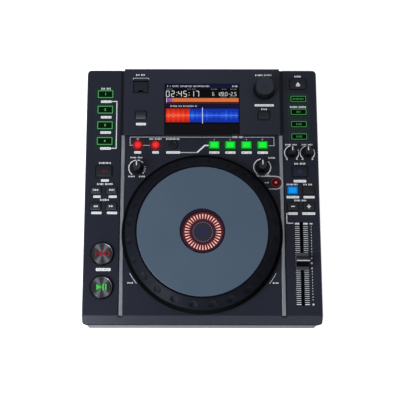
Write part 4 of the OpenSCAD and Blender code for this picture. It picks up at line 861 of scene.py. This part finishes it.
# each line of marks: film, x, y, width, height and words
labels = [
    ("paleFilm", -19.0, screen["header"], 60, 2.4, (1, 1, 5, 9, 13)),
    ("paleFilm", 46.4, screen["header"], 8.0, 2.4, (4,)),
    ("paleFilm", -25.5, screen["footer"], 38, 2.3, (6, 3, 9, 2)),
    ("greyFilm", -45.5, screen["labels"], 9, 1.3, (6,)),
    ("greyFilm", -14.5, screen["labels"], 12, 1.3, (3, 3)),
    ("greyFilm", 17.5, screen["labels"], 9, 1.3, (5,)),
    ("greyFilm", 31.5, screen["labels"], 7, 1.3, (3,)),
    ("greyFilm", 44.5, screen["labels"], 9, 1.3, (4,)),
    ("greyFilm", 30.5, screen["lowLabels"], 7, 1.3, (4,)),
    ("greyFilm", 43.5, screen["lowLabels"], 9, 1.3, (4,)),
]
filmNames = ("blackFilm", "navyFilm", "orangeFilm", "purpleFilm", "maroonFilm", "redFilm", "redWave",
             "redPeak", "blueFilm", "blueWave", "bluePeak", "paleFilm", "cursorFilm", "greyFilm")
film = {name: bmesh.new() for name in filmNames}
for name, x, y, w, l, high in blocks:
    bar(film[name], x, y, w, l, glassTop + high)
for name, x, y, w, tall, words in labels:
    caption(film[name], x, y, w, tall, glassTop, words)

segments = {"0": "abcdef", "1": "bc", "2": "abged", "3": "abgcd", "4": "fgbc", "5": "afgcd",
            "6": "afgedc", "7": "abc", "8": "abcdefg", "9": "abcdfg", "-": "g"}


def readout(sheet, text, x, y, tall, pitch, h, weight=0.11):
    # seven-segment figures, left to right
    wide, stroke = tall * 0.5, tall * weight
    for figure in text:
        if figure in ":.":
            for side in ((-1, 1) if figure == ":" else (-2,)):
                bar(sheet, x - pitch * 0.2, y + side * tall * 0.23, stroke * 1.1, stroke * 1.1, h)
            x += pitch * 0.42
            continue
        for part in segments.get(figure, ""):
            up = {"a": 0.5, "g": 0.0, "d": -0.5}.get(part)
            if up is None:
                side = 1 if part in "bc" else -1
                high = 0.25 if part in "bf" else -0.25
                bar(sheet, x + side * wide / 2, y + high * tall, stroke, tall * 0.44, h, 0.2)
            else:
                bar(sheet, x, y + up * tall, wide * 0.84, stroke, h, 0.2)
        x += pitch


readout(film["paleFilm"], "02:45:17", -48.0, screen["digits"], 8.2, 7.1, glassTop)
smallReadouts = (("6", 16.0, 4.6, 3.1), ("128.0", 23.0, 5.0, 3.3), ("-2.5", 38.4, 5.0, 3.6))
for text, x, tall, pitch in smallReadouts:
    readout(film["paleFilm"], text, x, screen["digits"] - 0.2, tall, pitch, glassTop)
for i in range(1, 24):
    x = -46 + i * screen["tickPitch"]
    bar(film["maroonFilm"], x, screen["progress"] + 2.2, 0.35, 1.0, glassTop + 0.02)

waveMiddle = (screen["waveLow"] + screen["waveHigh"]) / 2
waveTall = screen["waveHigh"] - screen["waveLow"]
for name, left, right in (("redFilm", screen["redFrom"], screen["redTo"]),
                          ("blueFilm", screen["redTo"], screen["blueTo"])):
    bar(film[name], (left + right) / 2, waveMiddle, right - left, waveTall, glassTop)
    wave = film[name.replace("Film", "Wave")]
    peaks = film[name.replace("Film", "Peak")]
    count = int((right - left) / screen["barPitch"])
    for i in range(count):
        x = left + 0.5 + i * screen["barPitch"]
        # made-up music: a beat, a fine ripple and a slow drift
        beat = abs(math.sin(i * 0.37)) ** 3
        swell = 0.34 + 0.34 * beat + 0.24 * abs(math.sin(i * 1.9)) + 0.1 * math.sin(i * 0.11)
        if name == "blueFilm":
            swell *= 0.6 if i % 29 > 7 else 0.85
        waveShare = max(0.1, min(0.92, swell))
        peakShare = max(0.05, min(0.5, swell * swell * 0.42))
        bar(wave, x, waveMiddle, screen["barWidth"], waveTall * waveShare, glassTop + 0.01)
        bar(peaks, x, waveMiddle, screen["barWidth"], waveTall * peakShare, glassTop + 0.02)
for name, sheet in film.items():
    layDown(sheet, f"screen_{name}", name, thick=0.012 if name == "blackFilm" else 0.022)
print("screen picture made")


# legends on the keys
def keyLegend(key, inkName, draw, drop=0.0, thick=0.05, tail=""):
    sheet = bmesh.new()
    x, y, top = topSpot(key)
    draw(sheet, x, y, top - drop)
    layDown(sheet, f"legend_{key}{tail}", inkName, key, thick)


def pairOfArrows(side, barToo):
    def draw(sheet, x, y, h):
        turn = -side * math.radians(90)
        for shift in (-1.75, 1.45):
            triangle(sheet, x + side * shift, y, 3.1, 3.0, h, turn)
        if barToo:
            bar(sheet, x + side * 3.4, y, 0.7, 3.1, h)
    return draw


def minusSign(sheet, x, y, h):
    bar(sheet, x, y, 5.2, 1.3, h)


def plusSign(sheet, x, y, h):
    bar(sheet, x, y, 5.2, 1.4, h)
    for side in (-1, 1):
        bar(sheet, x, y + side * 1.65, 1.4, 1.9, h)


def ejectSign(sheet, x, y, h):
    triangle(sheet, x, y + 0.3, 6.0, 4.4, h)
    bar(sheet, x, y - 3.1, 6.0, 1.3, h)


def reverseSign(sheet, x, y, h):
    for shift in (-2.2, 1.0):
        triangle(sheet, x + shift, y, 3.6, 3.2, h, math.radians(90))
    bar(sheet, x + 4.2, y, 1.0, 3.6, h)


def vinylSign(sheet, x, y, h):
    arc(sheet, x, y, 2.3, 0.7, 0, 360, h)
    dot(sheet, x, y, 0.8, h, 16)
    for side in (-1, 1):
        bar(sheet, x + side * 5.2, y, 2.2, 0.8, h)


def cueSign(sheet, x, y, h):
    bar(sheet, x - 8.8, y, 1.7, bigSigns["tall"], h)
    triangle(sheet, x - 3.4, y, bigSigns["tall"], bigSigns["arrow"], h, math.radians(90))
    arc(sheet, x + 6.2, y, 3.2, 1.7, 0, 360, h)


def playSign(sheet, x, y, h):
    triangle(sheet, x - 3.5, y, bigSigns["tall"], bigSigns["arrow"], h, math.radians(-90))
    for shift in (2.1, 5.6):
        bar(sheet, x + shift, y, 2.0, bigSigns["tall"], h)


def litOutline(key, inkName, edge):
    # a bright outline a little inside the key's own edge
    low, high = deckBox(key)
    width, length = high.x - low.x - outlineInset, high.y - low.y - outlineInset
    keyLegend(key, inkName, lambda s, x, y, h: frameBar(s, x, y, width, length, h, edge))


bigSigns = {"tall": 8.2, "arrow": 7.2, "dish": 0.3}
outlineInset = 3.0
for key, inkName, draw in (("track_back_button", "white", pairOfArrows(-1, True)),
                           ("track_next_button", "white", pairOfArrows(1, True)),
                           ("search_back_button", "white", pairOfArrows(-1, False)),
                           ("search_forward_button", "white", pairOfArrows(1, False)),
                           ("pitch_minus_button", "white", minusSign),
                           ("pitch_plus_button", "white", plusSign),
                           ("eject_button", "white", ejectSign),
                           ("reverse_button", "dimRed", reverseSign),
                           ("vinyl_button", "blueLamp", vinylSign)):
    keyLegend(key, inkName, draw)
for key in hotCues:
    litOutline(key, "greenLamp", 1.3)
    keyLegend(key, "paleLegend", lambda s, x, y, h: numeral(s, key[-1], x, y, 3.3, h), tail="_figure")
for key, words in zip(sourceKeys, ((8,), (3,), (4,), (4,))):
    litOutline(key, "sourceLamp", 0.75)
    keyLegend(key, "greenLegend", lambda s, x, y, h: caption(s, x, y, 2.0 * sum(words), 2.9, h, words),
              tail="_mark")
keyLegend("cue_button", "redLamp", cueSign, bigSigns["dish"])
keyLegend("play_button", "playLamp", playSign, bigSigns["dish"])

slipSign = {"spot": 1.5, "inner": 2.0, "innerWidth": 1.2, "inset": 0.9, "outerWidth": 1.0, "dish": 0.3}
low, high = deckBox("slip_button")
slipEdge = (high.x - low.x) / 2 - slipSign["inset"]
keyLegend("slip_button", "slipSpot", lambda s, x, y, h: dot(s, x, y, slipSign["spot"], h, 16),
          slipSign["dish"], 0.06)


def slipRings(sheet, x, y, h):
    arc(sheet, x, y, slipEdge, slipSign["outerWidth"], 0, 360, h)
    arc(sheet, x, y, slipSign["inner"], slipSign["innerWidth"], 0, 360, h)


keyLegend("slip_button", "slipRing", slipRings, slipSign["dish"], 0.04, "_ring")
print("key legends made")

# round display: lit marks on rings, a little off centre as seen through its lens
display = {
    "depth": 0.3, "sink": 1.8, "shift": 0.4, "hub": 13.0, "line": 0.4, "steps": 96,
    "marks": 36, "inner": 18.0, "outer": 24.4, "wideOut": 1.8, "wideIn": 0.6, "round": 0.3,
    "rings": ((13.4, 16.8, "innerLamp", 0.04), (16.8, 26.9, "ringLamp", 0.04),
              (27.2, 29.3, "rimLamp", 0.33)),
    "glows": ((-3.1, 2.6), (0, 4.0), (3.1, 2.6)), "glowWide": 2.3, "glowRound": 0.6,
}
face = deckBox("centre_display")[1].z - display["depth"]
middle = (jogCentre[0] + display["shift"], jogCentre[1] - display["sink"])
for low, high, inkName, thick in display["rings"]:
    sheet = bmesh.new()
    spot = jogCentre if inkName == "rimLamp" else middle
    arc(sheet, *spot, (low + high) / 2, high - low, 0, 360, face, display["steps"])
    layDown(sheet, f"display_{inkName}", inkName, thick=thick)
marks, circle, glow, hub = (bmesh.new() for _ in range(4))
radius = display["hub"] + display["line"] / 2
arc(circle, *middle, radius, display["line"], 0, 360, face, display["steps"])
dot(hub, *middle, display["hub"], face, 72)
for i in range(display["marks"]):
    angle = i * math.tau / display["marks"]
    turn = Matrix.Translation((*middle, face)) @ Matrix.Rotation(angle, 4, "Z")
    made = bmesh.ops.create_grid(marks, x_segments=1, y_segments=1, size=0.5)
    for v in made["verts"]:
        outside = v.co.x > 0
        reach = display["outer" if outside else "inner"]
        width = display["wideOut" if outside else "wideIn"]
        v.co = turn @ Vector((reach, v.co.y * width, 0))
    bmesh.ops.bevel(marks, geom=made["verts"], offset=display["round"], offset_type="OFFSET",
                    affect="VERTICES", segments=3, profile=0.5, material=-1)
for shift, tall in display["glows"]:
    bar(glow, middle[0] + shift, middle[1], display["glowWide"], tall, face, display["glowRound"])
layDown(marks, "display_marks", "markLamp", thick=0.06)
layDown(circle, "display_circle", "faint", thick=0.06)
layDown(hub, "display_hub", "hubInk", thick=0.02)
layDown(glow, "display_glow", "glowLamp")

# pointers on the knobs and the fader: width and length
pointers = {"jog_adjust_knob": (1.2, 6.2), "filter_knob": (1.2, 6.4),
            "start_time_knob": (1.1, 5.4), "stop_time_knob": (1.1, 5.4)}
pointerSeat = {"fromEdge": 1.6, "sink": 0.28, "round": 0.3, "thick": 0.2}
for name, (width, length) in pointers.items():
    low, high = deckBox(name)
    x, y, top = topSpot(name)
    reach = (high.x - low.x) / 2 - pointerSeat["fromEdge"]
    sheet = bmesh.new()
    bar(sheet, x, y + reach - length / 2, width, length, top - pointerSeat["sink"],
        pointerSeat["round"])
    layDown(sheet, f"pointer_{name}", "white", name, pointerSeat["thick"])

x, y, top = topSpot("fader_cap")
sheet = bmesh.new()
bar(sheet, x, y + faderCap["lineShift"], faderCap["lineWide"], faderCap["lineLong"], top)
layDown(sheet, "fader_cap_line", "line", "fader_cap", 0.06)
print("pointers made")

# dull strip along the case's front lip, over the seam: a dark piece put in as painted shade of the seam
lipStrip = {"wide": 0.317, "tall": 0.0083, "deep": 0.0007, "edge": 0.0002, "sink": 0.00001}
lipFront = min(p.y for p in casePoints)
lipLow = min(p.z for p in casePoints if p.y < lipFront + 0.0008)
strip = bmesh.new()
middle = (0, lipFront + lipStrip["sink"] + lipStrip["deep"] / 2, lipLow + lipStrip["tall"] / 2)
size = (lipStrip["wide"], lipStrip["deep"], lipStrip["tall"], 1)
bmesh.ops.create_cube(strip, size=1, matrix=Matrix.Translation(middle) @ Matrix.Diagonal(size))
lipFace = [e for e in strip.edges if all(v.co.y < lipFront + lipStrip["edge"] for v in e.verts)]
bmesh.ops.bevel(strip, geom=lipFace, offset=lipStrip["edge"], offset_type="OFFSET", affect="EDGES",
                segments=3, profile=0.5, material=-1)
# near-black and without gloss, so that it reads as the seam's shade
lipSeamShade = mouldedPlastic("lipSeamShade", srgb(9, 9, 11), 0.8, 1500, 0.00006, gloss=0.0)
finishPiece(strip, "front_lip_seam_shade", lipSeamShade, "case")
print("lip strip made")

# back: rings, captions, rating plate and screws, in millimetres over the panel as seen from behind
panelFace = max(v.co.y for v in nodes["rear_panel"].data.vertices)
rearMatrix = Matrix(((-0.001, 0, 0, 0), (0, 0, 0.001, panelFace), (0, 0.001, 0, 0), (0, 0, 0, 1)))
rear = {
    "jacks": ((128, "red"), (108, "white"), (78, "orange")), "jackHigh": 26.6, "hole": 4.6, "ring": 6.2,
    "screws": ((-140, 18), (-140, 52), (-1.5, 18), (-1.5, 52), (140, 18), (140, 52)), "head": 2.6,
    "captions": ((128, 37.2, 5, (3,)), (108, 37.2, 5, (3,)), (118, 43.0, 22, (4, 6)),
                 (78, 37.2, 12, (7,)), (40, 36.0, 13, (7,)), (12, 33.6, 9, (4,)),
                 (-118, 19.4, 26, (2, 7, 5)), (-84, 19.4, 11, (5,))),
    "bracket": [(102, 39.0), (102, 40.4), (134, 40.4), (134, 39.0)],
}
plate = {
    "x": -37, "y": 35.5, "wide": 50, "tall": 31, "round": 1.5, "raised": 0.06, "margin": 3,
    "lines": ((34, (5, 6, 4)), (40, (4, 3, 8)), (28, (6, 4)), (38, (3, 3, 7, 2))),
    "firstLine": 10.5, "linePitch": 4.4, "foot": -9.8, "squareX": 6.5, "squares": (5.2, 2.6),
    "codeX": -6, "codeBars": 22, "codePitch": 1.15, "codeTall": 6.0,
}


screwShape = {"sides": 28, "top": 0.78, "slot": 1.05, "slotWide": 0.22, "slotThick": 0.03}


def screwHeads(name, spots, spot, radius, high):
    # pan heads, each with a thin dark cross on top as painted shade in its slot, turned its own way
    heads, slotShades = bmesh.new(), bmesh.new()
    for u, v in spots:
        bmesh.ops.create_cone(heads, cap_ends=True, segments=screwShape["sides"], radius1=radius,
                              radius2=radius * screwShape["top"], depth=high,
                              matrix=Matrix.Translation((u, v, high / 2)))
        for turn in (20, 110):
            bar(slotShades, u, v, radius * screwShape["slot"], radius * screwShape["slotWide"], high, 0,
                math.radians(turn + u))
    bmesh.ops.transform(heads, matrix=spot, verts=heads.verts[:])
    finishPiece(heads, f"{name}_heads", steel, "case")
    putUp(slotShades, f"{name}_slot_shades", "black", spot, thick=screwShape["slotThick"])


for u, inkName in rear["jacks"]:
    sheet = bmesh.new()
    radius, width = (rear["hole"] + rear["ring"]) / 2, rear["ring"] - rear["hole"]
    arc(sheet, u, rear["jackHigh"], radius, width, 0, 360, 0)
    putUp(sheet, f"jack_ring_{inkName}", inkName, rearMatrix, thick=1.0)
sheet = bmesh.new()
for u, v, w, words in rear["captions"]:
    caption(sheet, u, v, w, 1.9, 0, words)
trace(sheet, rear["bracket"], 0.5, 0)
putUp(sheet, "rear_captions", "grey", rearMatrix)
sheet, words = bmesh.new(), bmesh.new()
bar(sheet, plate["x"], plate["y"], plate["wide"], plate["tall"], 0, plate["round"])
u = plate["x"] - plate["wide"] / 2
for i, (wide, groups) in enumerate(plate["lines"]):
    v = plate["y"] + plate["firstLine"] - i * plate["linePitch"]
    caption(words, u + plate["margin"] + wide / 2, v, wide, 1.7, plate["raised"], groups)
v = plate["y"] + plate["foot"]
for edge in plate["squares"]:
    frameBar(words, u + plate["squareX"], v, edge, edge, plate["raised"], 0.45, 0)
for i in range(plate["codeBars"]):
    u = plate["x"] + plate["codeX"] + i * plate["codePitch"]
    bar(words, u, v, 0.35 if i % 3 else 0.75, plate["codeTall"], plate["raised"])
putUp(sheet, "rating_plate", "plate", rearMatrix)
putUp(words, "rating_plate_marks", "black", rearMatrix, thick=0.03)
screwHeads("rear_screw", rear["screws"], rearMatrix, rear["head"], 1.0)

# the case screws, deep in the bores under the base
caseScrews = {"across": 154.5, "rows": (12, 122, 203, 321), "seat": -30, "radius": 3.2, "high": 2.0}
under = deckMatrix @ Matrix.Translation((0, 0, caseScrews["seat"])) @ Matrix.Rotation(math.pi, 4, "Y")
caseSpots = [(side * caseScrews["across"], y) for side in (-1, 1) for y in caseScrews["rows"]]
screwHeads("case_screw", caseSpots, under, caseScrews["radius"], caseScrews["high"])

# on and off signs, laid on the two halves of the rocker, at a share of its height
rockerSigns = {"on": 0.76, "off": 0.24, "thick": 0.04}
rocker = nodes["power_switch"].data
rockerTree = BVHTree.FromPolygons([v.co for v in rocker.vertices],
                                  [p.vertices for p in rocker.polygons])
rockerX = sum(v.co.x for v in rocker.vertices) / len(rocker.vertices)
rockerLow = min(v.co.z for v in rocker.vertices)
rockerHigh = max(v.co.z for v in rocker.vertices)
for name in ("on", "off"):
    level = rockerLow + rockerSigns[name] * (rockerHigh - rockerLow)
    start = Vector((rockerX, panelFace + 0.05, level))
    spot, normal, _, _ = rockerTree.ray_cast(start, Vector((0, -1, 0)))
    across = Vector((-1, 0, 0))
    facing = Matrix((across, normal.cross(across), normal)).transposed().to_4x4()
    sheet = bmesh.new()
    if name == "on":
        bar(sheet, 0, 0, 0.8, 3.2, 0)
    else:
        arc(sheet, 0, 0, 1.5, 0.6, 0, 360, 0)
    laid = Matrix.Translation(spot) @ facing @ Matrix.Scale(0.001, 4)
    putUp(sheet, f"rocker_{name}_sign", "white", laid, "power_switch", rockerSigns["thick"])
print("back made")

# floor, light and camera
paper = {"reach": 14, "low": 0.90, "high": 0.93, "patch": 3, "rough": 0.9, "gloss": 0.1, "glow": 0.75}
floorWork = bmesh.new()
bmesh.ops.create_grid(floorWork, x_segments=1, y_segments=1, size=paper["reach"])
floorMesh = bpy.data.meshes.new("floor")
floorWork.to_mesh(floorMesh)
floorWork.free()
floor = bpy.data.objects.new("floor", floorMesh)
bpy.context.scene.collection.objects.link(floor)
floorPaint, tree, shader = startMaterial("palePaper", Roughness=paper["rough"],
                                         Specular_IOR_Level=paper["gloss"],
                                         Emission_Strength=paper["glow"], Emission_Color=(1, 1, 1, 1))
white = (1, 1, 1, 1)
setTone(tree, shader, noise(tree, place(tree), paper["patch"], 2),
        [(0.3, shade(white, paper["low"])), (0.7, shade(white, paper["high"]))])
floorMesh.materials.append(floorPaint)

studio = {
    "softKey": {"at": (-1.5, -0.9, 1.3), "size": 1.2, "power": 38, "tint": (0.93, 0.97, 1)},
    "softFill": {"at": (1.7, -0.2, 1.3), "size": 1.4, "power": 4, "tint": (1, 0.98, 0.93)},
    "softBack": {"at": (0.0, 1.9, 0.9), "size": 1.4, "power": 9, "tint": (1, 1, 1)},
    "lowFront": {"at": (-0.34, -0.52, 0.14), "size": 0.14, "power": 1.5, "tint": (0.88, 1, 1)},
}
for name, lightSetting in studio.items():
    light = bpy.data.lights.new(name, "AREA")
    light.size = lightSetting["size"]
    light.energy = lightSetting["power"]
    light.color = lightSetting["tint"]
    lightObject = bpy.data.objects.new(name, light)
    bpy.context.scene.collection.objects.link(lightObject)
    lightObject.location = lightSetting["at"]
    aim = Vector((0, 0, 0.06)) - lightObject.location
    lightObject.rotation_euler = aim.to_track_quat("-Z", "Y").to_euler()

air = {"Color": (0.94, 0.96, 1.0, 1), "Strength": 0.3}
world = bpy.data.worlds.new("studioAir")
bpy.context.scene.world = world
world.use_nodes = True
for socket, value in air.items():
    world.node_tree.nodes["Background"].inputs[socket].default_value = value

cameraSetting = {"at": (-0.02094, -0.34357, 1.31277), "tilt": 15.139, "turn": 0.074,
                 "lens": 83.42, "shift": 0.0335}
camera = bpy.data.objects.new("camera", bpy.data.cameras.new("camera"))
bpy.context.scene.collection.objects.link(camera)
camera.data.lens = cameraSetting["lens"]
camera.data.shift_x = cameraSetting["shift"]
camera.location = cameraSetting["at"]
camera.rotation_euler = (math.radians(cameraSetting["tilt"]), 0, math.radians(cameraSetting["turn"]))
bpy.context.scene.camera = camera
bpy.context.scene.view_settings.view_transform = "Standard"

print("scene ready")
